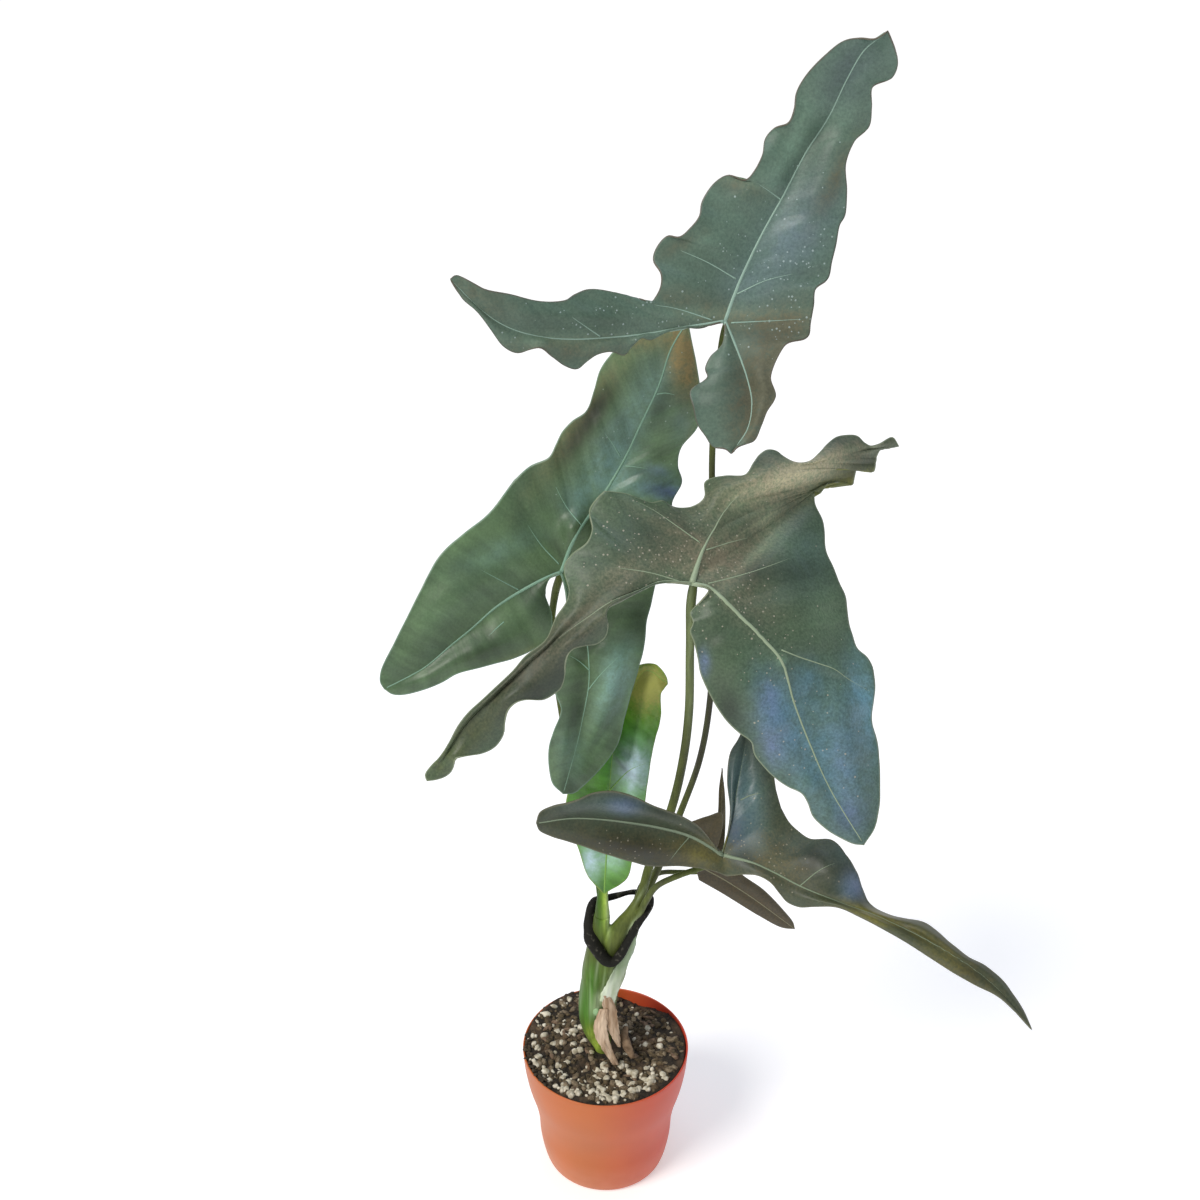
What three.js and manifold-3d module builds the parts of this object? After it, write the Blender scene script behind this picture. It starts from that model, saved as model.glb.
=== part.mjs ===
// A young aroid house plant with six three-lobed leaves, in a plastic nursery pot.
// Millimetres, +Z up. The origin is the centre of the pot's flat base.
import * as THREE from 'three';
import { mergeVertices } from 'three/addons/utils/BufferGeometryUtils.js';
import Module from 'manifold-3d';

const wasm = await Module();
wasm.setup();

// Driving dimensions of the pot, a common 12 cm nursery pot.
const RIM_RADIUS = 60;
const POT_HEIGHT = 100;
const WALL = 1.2;
const FLOOR = 1.6;
const DRAIN_HOLES = 6;
const DRAIN_HOLE_RADIUS = 3.5;
const DRAIN_CIRCLE_RADIUS = 30;
const POT_SIDES = 48;

// Driving dimensions of the soil and of what lies in it.
const GAP = 0.3;
const SOIL_LEVEL = 95;
const SOIL_SIDES = 36;
const PERLITE_COUNT = 46;
const PERLITE_RADIUS = 2.3;
const BARK_COUNT = 5;

// Driving dimensions of the stem, its sheaths and the soft tie.
const STEM_X = -4;
const STEM_Y = -1.5;
const STEM_FOOT = 60;
const STEM_TOP = 175;
const STEM_RADIUS = 11;
const STEM_TOP_HALF_WIDTH = 17;
const STEM_TOP_HALF_DEPTH = 13.5;
const STEM_LEAN = 3;
const LEAN_FROM = 98;
const LEAN_TO = 152;
const STEM_RETURN = 6.5;
const RETURN_FROM = 135;
const WIDENING_FROM = 110;
const BUD_RADIUS = 4;
const BUD_PLACE = [-6, -12, 131];
const HOLE_RADIUS = STEM_RADIUS + 0.6;
const SHEATH_THICKNESS = 0.8;
const TIE_RADIUS = 3.4;

// Driving dimensions of the leaves.
const BLADE_THICKNESS = 1;
const FRONT_ROWS = 20;
const SIDE_ROWS = 12;
const COLUMNS = 3;
const SEAM = 0.01;

// The photograph's camera, in mm and degrees, with its focal length and centre in pixels.
// A leaf's points are read in the photograph as [column, row], with the depth y in mm.
const EYE = new THREE.Vector3(-4, -775, 835);
const VIEW_PITCH = THREE.MathUtils.degToRad(25.9);
const VIEW_FOCAL = 1400;
const VIEW_CENTRE = 600;

function fromPhoto([column, row, depth]) {
  const across = (column - VIEW_CENTRE) / VIEW_FOCAL;
  const down = (row - VIEW_CENTRE) / VIEW_FOCAL;
  const forward = Math.cos(VIEW_PITCH);
  const fall = Math.sin(VIEW_PITCH);
  const reach = (depth - EYE.y) / (forward - fall * down);
  return new THREE.Vector3(EYE.x + reach * across, depth, EYE.z - reach * (fall + forward * down));
}

// Each blade has a joint, where its stalk meets it, and up to three lobes. Going counter-clockwise
// in the photograph they are the front lobe, the left lobe and the right lobe. A rib runs from the
// joint to the lobe's tip, and a margin runs along each side of it. The front lobe and the outer
// sides of the side lobes meet at the two bays. The inner sides start at the joint, round the sinus.
// A dip says how far the middle of a margin lies behind its rib, in mm.
const BLADES = {
  blade_a: {
    colour: '#5f7868',
    joint: [725, 321, 5],
    bays: { left: [652, 302, 0], right: [811, 322, 4] },
    front: {
      rib: [[739, 283, 12], [762, 234, 21], [782, 198, 27], [806, 152, 32], [828, 118, 33], [849, 75, 28],
        [865, 49, 21], [889, 31, 9]],
      left: [[660, 286], [653, 262], [666, 238], [686, 232], [700, 212], [706, 194], [722, 177], [745, 180],
        [759, 163], [765, 139], [789, 122], [795, 97], [820, 60], [845, 41], [874, 39]],
      right: [[814, 304], [817, 288], [831, 272], [840, 225], [847, 206], [846, 166], [858, 138], [872, 108],
        [874, 86], [892, 78], [899, 60]],
      dips: [-9, -6],
      swell: 4,
    },
    left: {
      rib: [[690, 326, 1], [650, 333, -3], [614, 337, -8], [574, 339, -14], [543, 337, -19], [510, 328, -24],
        [485, 313, -27], [451, 277, -30]],
      outer: [[632, 297], [592, 289], [568, 299], [540, 301], [510, 294], [470, 281]],
      inner: [[700, 329], [668, 333], [643, 340], [626, 355], [602, 354], [577, 369], [554, 357], [540, 349],
        [517, 353], [501, 344], [481, 317], [461, 297]],
      dips: [-5, -6],
      swell: 3,
    },
    right: {
      rib: [[733, 340, 0], [741, 360, -6], [748, 381, -12], [753, 403, -18], [749, 428, -24],
        [731, 454, -30]],
      outer: [[808, 337], [788, 344], [771, 376], [776, 396], [767, 412], [762, 425], [753, 441]],
      inner: [[721, 345], [708, 359], [706, 376], [690, 391], [694, 410], [705, 437], [715, 448]],
      dips: [-4, -4],
      swell: 3,
    },
  },
  blade_b: {
    colour: '#75695a',
    joint: [692, 583, -40],
    bays: { left: [604, 491, -12], right: [814, 491, 34] },
    front: {
      rib: [[702, 546, -24], [713, 531, -14], [734, 499, 4], [772, 476, 22], [804, 466, 38], [834, 458, 54],
        [870, 449, 76], [899, 446, 90]],
      left: [[627, 494], [651, 503], [671, 506], [691, 507], [704, 497], [708, 480], [725, 476], [745, 475],
        [760, 454], [776, 451], [791, 461], [810, 461], [828, 443], [849, 434], [864, 442], [886, 440]],
      right: [[828, 484], [849, 484], [858, 470], [873, 469], [880, 449]],
      dips: [-10, 4],
      swell: 4,
    },
    left: {
      rib: [[660, 582, -47], [640, 590, -53], [611, 600, -60], [586, 615, -64], [561, 633, -68],
        [530, 660, -73], [497, 692, -78], [466, 722, -82], [446, 754, -86], [428, 783, -90]],
      outer: [[592, 510], [590, 538], [566, 562], [568, 597], [556, 618], [526, 656], [494, 688], [458, 726],
        [441, 756], [427, 772]],
      inner: [[654, 584], [622, 600], [606, 613], [607, 634], [588, 646], [567, 656], [564, 680], [545, 700],
        [515, 703], [505, 724], [496, 746], [461, 757], [451, 771]],
      dips: [-8, -5],
      swell: 4,
    },
    right: {
      rib: [[710, 585, -44], [736, 610, -50], [764, 639, -56], [781, 660, -59], [794, 703, -64],
        [811, 747, -69], [829, 787, -74], [866, 846, -82]],
      outer: [[824, 524], [827, 554], [843, 590], [850, 628], [857, 648], [872, 664], [875, 690], [872, 720],
        [879, 757], [879, 808]],
      inner: [[709, 590], [698, 602], [690, 614], [694, 643], [700, 672], [726, 720], [750, 741], [765, 766],
        [802, 793], [812, 815], [841, 836]],
      dips: [-6, -5],
      swell: 4,
    },
  },
  blade_c: {
    colour: '#4f7254',
    joint: [561, 572, 10],
    bays: { left: [514, 480, 22], right: [672, 545, 22] },
    front: {
      rib: [[575, 535, 19], [608, 489, 28], [625, 458, 32], [639, 428, 34], [659, 385, 33], [671, 349, 29],
        [688, 318, 22]],
      left: [[530, 466], [549, 457], [562, 432], [586, 411], [600, 370], [622, 343], [655, 325]],
      right: [[677, 520], [672, 504], [682, 482], [678, 465], [681, 448], [698, 426], [701, 400], [695, 366],
        [682, 332]],
      dips: [-5, -4],
      swell: 4,
    },
    left: {
      rib: [[546, 578, 6], [521, 591, 1], [496, 607, -5], [471, 629, -12], [450, 646, -18], [425, 667, -24],
        [386, 694, -32]],
      outer: [[489, 513], [463, 534], [440, 555], [421, 589], [394, 643], [381, 680]],
      inner: [[549, 579], [545, 592], [552, 616], [549, 638], [529, 652], [494, 664], [457, 674], [441, 683],
        [408, 695]],
      dips: [-6, -5],
      swell: 4,
    },
    right: {
      rib: [[572, 605, 8], [586, 640, 4], [589, 681, -1], [583, 716, -5], [577, 743, -8], [561, 795, -14]],
      outer: [[656, 583], [647, 620], [644, 647], [632, 690], [625, 716], [617, 745], [596, 769], [581, 787]],
      inner: [[566, 600], [562, 640], [556, 695], [561, 710], [549, 746], [551, 780]],
      dips: [0, -3],
      swell: 3,
    },
  },
  blade_d: {
    colour: '#4b4c3e',
    joint: [722, 855, -40],
    bays: { left: [781, 808, -22], right: [727, 876, -46] },
    front: {
      rib: [[750, 862, -47], [775, 873, -54], [800, 886, -61], [835, 901, -70], [880, 918, -82],
        [930, 942, -95], [980, 974, -108], [1010, 1002, -115], [1033, 1032, -121]],
      left: [[797, 828], [810, 839], [832, 840], [846, 855], [860, 880], [869, 903], [884, 913], [925, 923],
        [950, 943], [985, 966], [1001, 979], [1020, 1006]],
      right: [[755, 875], [770, 882], [787, 902], [814, 907], [837, 907], [886, 931], [930, 958], [975, 985],
        [1012, 1009]],
      dips: [4, -3],
      swell: 3,
    },
    left: {
      rib: [[733, 815, -26], [737, 790, -15], [741, 770, -6], [745, 746, 6], [746, 722, 18]],
      outer: [[776, 790], [771, 762], [757, 738]],
      inner: [[726, 843], [730, 812], [727, 780], [730, 753], [738, 739]],
      dips: [0, 0],
      swell: 2,
    },
    right: {
      rib: [[704, 840, -43], [688, 832, -45], [658, 825, -49], [627, 821, -53], [601, 816, -56],
        [572, 815, -58], [535, 824, -61]],
      outer: [[709, 870], [680, 866], [650, 866], [603, 853], [577, 844], [551, 836]],
      inner: [[712, 842], [698, 826], [679, 815], [650, 804], [620, 792], [593, 794], [566, 803], [545, 810]],
      dips: [-4, -5],
      swell: 3,
    },
  },
  blade_e: {
    colour: '#66a02a',
    joint: [604, 894, -8],
    front: {
      rib: [[606, 860, -3], [608, 820, 3], [610, 780, 8], [614, 745, 11], [626, 705, 14], [646, 668, 15],
        [669, 684, 10]],
      left: [[588, 876], [578, 848], [567, 820], [567, 796], [580, 765], [599, 730], [616, 695], [636, 667],
        [655, 664]],
      right: [[627, 878], [634, 850], [643, 815], [648, 780], [653, 748], [661, 716], [661, 694], [664, 689]],
      dips: [-9, -8],
      swell: 2,
    },
  },
  blade_f: {
    colour: '#5c5436',
    joint: [705, 869, 2],
    bays: { left: [722, 858, 6], right: [699, 880, 0] },
    front: {
      rib: [[725, 880, 4], [750, 896, 7], [775, 914, 10], [796, 931, 12]],
      left: [[744, 876], [764, 890], [786, 913]],
      right: [[722, 893], [758, 915], [781, 927]],
      dips: [0, 0],
      swell: 1,
    },
    left: {
      rib: [[715, 845, 10], [721, 812, 24], [722, 768, 40]],
      outer: [[725, 835], [725, 795]],
      inner: [[712, 850], [718, 812], [719, 788]],
      dips: [0, 0],
      swell: 0,
    },
    right: {
      rib: [[700, 850, 4], [694, 836, 8], [686, 823, 12]],
      outer: [[690, 862], [684, 840]],
      inner: [[709, 850], [711, 822], [698, 818]],
      dips: [0, 0],
      swell: 1,
    },
  },
};

// The stalks start side by side on top of the stem, as [x, y] in mm from the middle of its top face,
// and follow points read in the photograph. A route comes to its blade from behind and ends a little
// in front of it, beside the joint, where the blade cuts it off. Radii are at the foot and the blade.
const STALKS = {
  petiole_a: {
    colour: '#7f8f5a',
    start: [5.5, -1],
    route: [[620, 941, -2], [638, 909, -1], [659, 866, 2], [679, 816, 8], [700, 760, 14], [711, 700, 18],
      [713, 620, 22], [713, 540, 26], [712, 464, 26], [710, 400, 23], [715, 352, 21], [724, 322, 16],
      [735, 299, 2]],
    radii: [3.1, 1.9],
  },
  petiole_b: {
    colour: '#7f8f5a',
    start: [-2, -7],
    route: [[608, 941, -10], [629, 911, -10], [649, 867, -9], [671, 810, -13], [684, 760, -20],
      [689, 710, -26], [690, 650, -30], [690, 603, -30], [697, 572, -42]],
    radii: [3.2, 2.5],
  },
  petiole_c: {
    colour: '#6f9a55',
    start: [-5, 8],
    route: [[601, 935, 1], [602, 905, 2], [597, 870, 11], [588, 835, 21], [574, 780, 27], [560, 700, 28],
      [551, 640, 26], [555, 594, 23], [562, 572, 19], [570, 552, 8]],
    radii: [2.8, 2.2],
  },
  petiole_d: {
    colour: '#8c8a55',
    start: [12.5, -5],
    route: [[632, 930, -12], [643, 904, -19], [657, 886, -25], [680, 875, -31], [704, 868, -33],
      [733, 857, -46]],
    radii: [2.5, 1.9],
  },
  petiole_e: {
    colour: '#8fc050',
    start: [-10.5, -3],
    route: [[598, 927, -6], [602, 908, -8], [604, 894.7, -8]],
    radii: [3.6, 3.8],
  },
  petiole_f: {
    colour: '#8c8a55',
    start: [6, 8],
    route: [[627, 930, 5], [634, 905, 7], [643, 883, 9], [660, 873, 11], [680, 872, 11], [697, 873, 11],
      [713, 872, 0]],
    radii: [2.3, 1.5],
  },
};

const STALK_SIDES = 8;
const STALK_STEPS = 20;

// The tie's route, read in the photograph from its left end round the front to its back strap.
const TIE_ROUTE = [[588, 907, 5], [583, 926, -4], [590, 948, -13], [604, 960, -19], [615, 966, -20],
  [626, 957, -18], [638, 936, -17], [651, 912, -10], [654, 897, 4], [637, 892, 17], [612, 895, 19],
  [596, 899, 14]];

// The triangles of an indexed mesh, as triples, without those that joined vertices have flattened.
function trueFaces(geometry) {
  const corners = Array.from(geometry.getIndex().array);
  const faces = [];
  for (let i = 0; i < corners.length; i += 3) {
    const [a, b, c] = corners.slice(i, i + 3);
    if (a !== b && b !== c && c !== a) faces.push([a, b, c]);
  }
  return faces;
}

// A closed mesh: shared vertices joined, flat triangles dropped, faces pointing out.
function closed(geometry) {
  geometry.deleteAttribute('normal');
  geometry.deleteAttribute('uv');
  const merged = mergeVertices(geometry, SEAM / 10);
  const position = merged.getAttribute('position');
  const faces = trueFaces(merged);
  const volume = faces.reduce((sum, [a, b, c]) => {
    const p = new THREE.Vector3().fromBufferAttribute(position, a);
    const q = new THREE.Vector3().fromBufferAttribute(position, b);
    const r = new THREE.Vector3().fromBufferAttribute(position, c);
    return sum + p.dot(q.cross(r));
  }, 0);
  merged.setIndex(faces.flatMap(([a, b, c]) => (volume > 0 ? [a, b, c] : [a, c, b])));
  return merged;
}

function toSolid(geometry) {
  const body = closed(geometry);
  const vertProperties = new Float32Array(body.getAttribute('position').array);
  const triVerts = new Uint32Array(body.getIndex().array);
  return new wasm.Manifold(new wasm.Mesh({ numProp: 3, vertProperties, triVerts }));
}

function fromSolid(solid) {
  const mesh = solid.getMesh();
  const geometry = new THREE.BufferGeometry();
  geometry.setAttribute('position', new THREE.BufferAttribute(new Float32Array(mesh.vertProperties), 3));
  geometry.setIndex(Array.from(mesh.triVerts));
  return geometry;
}

// A lathe round the Z axis, from [radius, height] pairs that start and end on the axis.
function turned(profile, sides) {
  const points = profile.map(([radius, height]) => new THREE.Vector2(radius, height));
  return new THREE.LatheGeometry(points, sides).rotateX(Math.PI / 2);
}

// The pot's outer wall, from the foot up: a rounded foot, a near-cylinder and a flared rim zone.
const OUTER_WALL = [[41, 0], [44.2, 1.6], [45.6, 6], [48.3, 21], [49.4, 38], [52, 53], [56.4, 70],
  [59, 86], [RIM_RADIUS, POT_HEIGHT]];

function wallRadius(height) {
  const above = OUTER_WALL.findIndex(([, level]) => level >= height);
  if (above < 1) return OUTER_WALL[Math.max(above, 0)][0];
  const [lowRadius, low] = OUTER_WALL[above - 1];
  const [highRadius, high] = OUTER_WALL[above];
  return lowRadius + ((height - low) / (high - low)) * (highRadius - lowRadius);
}

function potGeometry() {
  const inner = OUTER_WALL.slice(2).map(([radius, height]) => [radius - WALL, height]).reverse();
  const profile = [[0, 0], ...OUTER_WALL, ...inner, [43, FLOOR], [0, FLOOR]];
  let pot = toSolid(turned(profile, POT_SIDES));
  for (let i = 0; i < DRAIN_HOLES; i += 1) {
    const angle = (i / DRAIN_HOLES) * 2 * Math.PI;
    const hole = new THREE.CylinderGeometry(DRAIN_HOLE_RADIUS, DRAIN_HOLE_RADIUS, 4 * FLOOR, 12);
    hole.rotateX(Math.PI / 2);
    hole.translate(DRAIN_CIRCLE_RADIUS * Math.cos(angle), DRAIN_CIRCLE_RADIUS * Math.sin(angle), 0);
    pot = pot.subtract(toSolid(hole));
  }
  return fromSolid(pot);
}

// The soil is heaped at the back left and lies lower at the back right, where the wall shows.
function soilHeight(x, y) {
  const mound = (height, middleX, middleY, spread) =>
    height * Math.exp(-((x - middleX) ** 2 + (y - middleY) ** 2) / spread ** 2);
  const lumps = 0.7 * Math.sin(x / 5 + 1.3) * Math.sin(y / 6.2);
  return SOIL_LEVEL + mound(4, -26, 26, 30) + mound(-6, 34, 34, 26) + lumps;
}

// A small seeded generator, so that the granules fall in the same places each time.
function seeded(seed) {
  let state = seed;
  return () => {
    state = (state * 1664525 + 1013904223) % 4294967296;
    return state / 4294967296;
  };
}

function granule(radius, stretch, place, draw) {
  const grain = new THREE.IcosahedronGeometry(radius, 0);
  grain.scale(stretch, 1, 0.8);
  grain.rotateX((draw() - 0.5) * 0.6);
  grain.rotateZ(draw() * Math.PI);
  return grain.translate(...place);
}

function soilGeometry() {
  const rings = [0, 10, 20, 30, 39, 47, 53];
  const top = rings.map((radius) => [radius, SOIL_LEVEL]);
  const side = [70, 53, 38, 6].map((height) => [wallRadius(height) - WALL - 2 * GAP, height]);
  const edge = [wallRadius(SOIL_LEVEL) - WALL - 2 * GAP, SOIL_LEVEL];
  const profile = [...top, edge, ...side, [42, FLOOR + GAP], [0, FLOOR + GAP]];
  const body = turned(profile, SOIL_SIDES);
  const position = body.getAttribute('position');
  for (let i = 0; i < position.count; i += 1) {
    const surface = Math.abs(position.getZ(i) - SOIL_LEVEL) < 1e-3;
    if (surface) position.setZ(i, soilHeight(position.getX(i), position.getY(i)));
  }
  let soil = toSolid(body);

  const draw = seeded(7);
  for (let i = 0; i < PERLITE_COUNT + BARK_COUNT; i += 1) {
    const bark = i >= PERLITE_COUNT;
    const angle = draw() * 2 * Math.PI;
    const radius = 18 + Math.sqrt(draw()) * 33;
    const size = PERLITE_RADIUS * (0.6 + 0.8 * draw());
    const x = radius * Math.cos(angle);
    const y = radius * Math.sin(angle);
    const place = [x, y, soilHeight(x, y)];
    const grain = bark ? granule(size * 1.1, 2, place, draw) : granule(size, 1.15, place, draw);
    soil = soil.add(toSolid(grain));
  }

  const depth = SOIL_LEVEL + 20 - STEM_FOOT;
  const hole = new THREE.CylinderGeometry(HOLE_RADIUS, HOLE_RADIUS, depth, 20).rotateX(Math.PI / 2);
  hole.translate(STEM_X, STEM_Y, STEM_FOOT - GAP + depth / 2);
  return fromSolid(soil.subtract(toSolid(hole)));
}

// Bends a straight form, whose length lies along Y from 0 to 1, onto a curve. Its own X and Z are
// laid across the curve, and widen from the first radius to the second.
function bent(geometry, curve, steps, radii) {
  const frames = curve.computeFrenetFrames(steps, false);
  const position = geometry.getAttribute('position');
  for (let i = 0; i < position.count; i += 1) {
    const along = THREE.MathUtils.clamp(position.getY(i), 0, 1);
    const step = Math.round(along * steps);
    const radius = THREE.MathUtils.lerp(radii[0], radii[1], along);
    const place = curve.getPointAt(step / steps);
    place.addScaledVector(frames.normals[step], position.getX(i) * radius);
    place.addScaledVector(frames.binormals[step], position.getZ(i) * radius);
    position.setXYZ(i, place.x, place.y, place.z);
  }
  return closed(geometry);
}

function rod(points, radii, sides, steps) {
  const curve = new THREE.CatmullRomCurve3(points, false, 'centripetal');
  const straight = new THREE.CylinderGeometry(1, 1, 1, sides, steps).translate(0, 0.5, 0);
  return bent(straight, curve, steps, radii);
}

// The stem stands upright in its hole, leans a little to the left above the soil and carries the
// stalks on its flat top. It widens upwards, where the bases of the stalks clasp it.
function stemCentre(height) {
  const share = THREE.MathUtils.clamp((height - LEAN_FROM) / (LEAN_TO - LEAN_FROM), 0, 1);
  const lean = STEM_LEAN * Math.sin(Math.PI * share);
  const back = STEM_RETURN * THREE.MathUtils.smoothstep(height, RETURN_FROM, STEM_TOP);
  return new THREE.Vector3(STEM_X - lean + back, STEM_Y, height);
}

function stemSurface(height, angle, clearance) {
  const widening = THREE.MathUtils.smoothstep(height, WIDENING_FROM, STEM_TOP);
  const wide = THREE.MathUtils.lerp(STEM_RADIUS, STEM_TOP_HALF_WIDTH, widening) + clearance;
  const deep = THREE.MathUtils.lerp(STEM_RADIUS, STEM_TOP_HALF_DEPTH, widening) + clearance;
  const place = stemCentre(height);
  place.x += wide * Math.cos(angle);
  place.y += deep * Math.sin(angle);
  return place;
}

function stemGeometry() {
  const straight = new THREE.CylinderGeometry(1, 1, STEM_TOP - STEM_FOOT, 18, 14).rotateX(Math.PI / 2);
  straight.translate(0, 0, (STEM_TOP + STEM_FOOT) / 2);
  const position = straight.getAttribute('position');
  for (let i = 0; i < position.count; i += 1) {
    const height = position.getZ(i);
    const middle = Math.hypot(position.getX(i), position.getY(i)) < 0.5;
    const angle = Math.atan2(position.getY(i), position.getX(i));
    const place = middle ? stemCentre(height) : stemSurface(height, angle, 0);
    position.setXYZ(i, place.x, place.y, place.z);
  }
  const bud = new THREE.SphereGeometry(BUD_RADIUS, 10, 8);
  bud.scale(0.8, 0.7, 1.1);
  bud.translate(...BUD_PLACE);
  return fromSolid(toSolid(straight).add(toSolid(bud)));
}

// A grid of points, rows long and columns wide, as the corners of its triangles.
function gridCorners(grid, rows, columns, turn) {
  const corners = [];
  for (let i = 0; i < rows; i += 1) {
    for (let j = 0; j < columns; j += 1) {
      const near = i * (columns + 1) + j;
      const far = near + columns + 1;
      const quad = [near, far, far + 1, near, far + 1, near + 1];
      corners.push(...(turn > 0 ? quad : quad.reverse()));
    }
  }
  return corners.map((corner) => grid[corner]);
}

function sheetThrough(corners) {
  const sheet = new THREE.BufferGeometry();
  const places = corners.flatMap((corner) => corner.toArray());
  sheet.setAttribute('position', new THREE.Float32BufferAttribute(places, 3));
  return sheet;
}

// A sheet of triangles, given its thickness: both faces are split alike.
function thickened(sheet, thickness) {
  const merged = mergeVertices(sheet, SEAM);
  const faces = trueFaces(merged);
  merged.setIndex(faces.flat());
  merged.computeVertexNormals();

  const position = merged.getAttribute('position');
  const normal = merged.getAttribute('normal');
  const count = position.count;
  const places = [];
  for (const side of [1, -1]) {
    for (let i = 0; i < count; i += 1) {
      const place = new THREE.Vector3().fromBufferAttribute(position, i);
      place.addScaledVector(new THREE.Vector3().fromBufferAttribute(normal, i), (side * thickness) / 2);
      places.push(place.x, place.y, place.z);
    }
  }

  const used = new Map();
  for (const [a, b, c] of faces) {
    for (const [from, to] of [[a, b], [b, c], [c, a]]) used.set(`${from},${to}`, [from, to]);
  }
  const shell = faces.flatMap(([a, b, c]) => [a, b, c, count + a, count + c, count + b]);
  for (const [from, to] of used.values()) {
    if (used.has(`${to},${from}`)) continue;
    shell.push(to, from, count + from, to, count + from, count + to);
  }
  const solid = new THREE.BufferGeometry();
  solid.setAttribute('position', new THREE.Float32BufferAttribute(places, 3));
  solid.setIndex(shell);
  return solid;
}

// One side of a lobe, from its rib to its margin, as triangles. Turn is 1 where the margin lies
// counter-clockwise of the rib, and -1 where it lies clockwise.
function halfLobe(blade, lobe, margin, start, dip, turn, rows) {
  const toVector = ([column, row, depth = 0]) => new THREE.Vector3(column, row, depth);
  const ribPoints = [blade.joint, ...lobe.rib];
  const tip = ribPoints[ribPoints.length - 1];
  const rib = new THREE.CatmullRomCurve3(ribPoints.map(toVector), false, 'centripetal');
  const edgePoints = [start, ...margin, tip].map(([column, row]) => [column, row, 0]);
  const edge = new THREE.CatmullRomCurve3(edgePoints.map(toVector), false, 'centripetal');

  const grid = [];
  for (let i = 0; i <= rows; i += 1) {
    const along = i / rows;
    const arch = Math.sin(Math.PI * along);
    const inside = rib.getPointAt(along);
    const outside = edge.getPointAt(along);
    outside.z = inside.z + (1 - along) * (start[2] - blade.joint[2]) + dip * arch;
    for (let j = 0; j <= COLUMNS; j += 1) {
      const across = j / COLUMNS;
      const point = inside.clone().lerp(outside, across);
      point.z -= lobe.swell * arch * Math.sin(Math.PI * across);
      grid.push(fromPhoto(point.toArray()));
    }
  }

  return gridCorners(grid, rows, COLUMNS, turn);
}

function bladeSheet(blade) {
  const { joint, front, left, right } = blade;
  const bays = blade.bays ?? { left: joint, right: joint };
  const corners = [
    ...halfLobe(blade, front, front.left, bays.left, front.dips[0], 1, FRONT_ROWS),
    ...halfLobe(blade, front, front.right, bays.right, front.dips[1], -1, FRONT_ROWS),
  ];
  if (left) {
    corners.push(...halfLobe(blade, left, left.outer, bays.left, left.dips[0], -1, SIDE_ROWS));
    corners.push(...halfLobe(blade, left, left.inner, joint, left.dips[1], 1, SIDE_ROWS));
  }
  if (right) {
    corners.push(...halfLobe(blade, right, right.outer, bays.right, right.dips[0], 1, SIDE_ROWS));
    corners.push(...halfLobe(blade, right, right.inner, joint, right.dips[1], -1, SIDE_ROWS));
  }
  return sheetThrough(corners);
}

// A stalk is cut off where it comes through its blade, with the gap that touching pieces keep.
function stalkGeometry({ start, route, radii }, blade) {
  const foot = stemCentre(STEM_TOP + GAP).add(new THREE.Vector3(...start, 0));
  const above = foot.clone().setZ(foot.z + 4);
  const stalk = rod([foot, above, ...route.map(fromPhoto)], radii, STALK_SIDES, STALK_STEPS);
  const position = stalk.getAttribute('position');
  for (let i = 0; i < position.count; i += 1) position.setZ(i, Math.max(position.getZ(i), foot.z));
  const cutter = thickened(bladeSheet(blade), BLADE_THICKNESS + 2 * GAP);
  const pieces = toSolid(stalk).subtract(toSolid(cutter)).decompose();
  pieces.sort((one, other) => other.volume() - one.volume());
  return fromSolid(pieces[0]);
}

// The tie is a soft round ring, bent to its loop.
function tieGeometry() {
  const steps = 36;
  const curve = new THREE.CatmullRomCurve3(TIE_ROUTE.map(fromPhoto), true, 'centripetal');
  const frames = curve.computeFrenetFrames(steps, true);
  const ring = new THREE.TorusGeometry(10, 1, 8, steps);
  const position = ring.getAttribute('position');
  for (let i = 0; i < position.count; i += 1) {
    const angle = Math.atan2(position.getY(i), position.getX(i));
    const step = Math.round((angle / (2 * Math.PI)) * steps + steps) % steps;
    const outward = Math.hypot(position.getX(i), position.getY(i)) - 10;
    const place = curve.getPointAt(step / steps);
    place.addScaledVector(frames.normals[step], outward * TIE_RADIUS);
    place.addScaledVector(frames.binormals[step], position.getZ(i) * TIE_RADIUS);
    position.setXYZ(i, place.x, place.y, place.z);
  }
  return closed(ring);
}

// A sheath is a thin shell that hugs the stem's right side and narrows to a point at each end. Its
// angles are about the stem's axis, in degrees, with 0 to the right and negative to the front.
function sheathGeometry({ from, to, low, high }) {
  const rows = 8;
  const columns = 6;
  const grid = [];
  for (let i = 0; i <= rows; i += 1) {
    const along = i / rows;
    const height = THREE.MathUtils.lerp(low, high, along);
    const width = Math.sin(Math.PI * (0.12 + 0.83 * along)) ** 0.6;
    for (let j = 0; j <= columns; j += 1) {
      const side = THREE.MathUtils.lerp(from, to, 0.5 + (j / columns - 0.5) * width);
      grid.push(stemSurface(height, THREE.MathUtils.degToRad(side), SHEATH_THICKNESS / 2 + 1.5 * GAP));
    }
  }
  return thickened(sheetThrough(gridCorners(grid, rows, columns, -1)), SHEATH_THICKNESS);
}

const part = new THREE.Group();

function add(name, geometry, color, roughness) {
  geometry.computeVertexNormals();
  const mesh = new THREE.Mesh(geometry, new THREE.MeshStandardMaterial({ color, roughness, metalness: 0 }));
  mesh.name = name;
  part.add(mesh);
}

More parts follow.
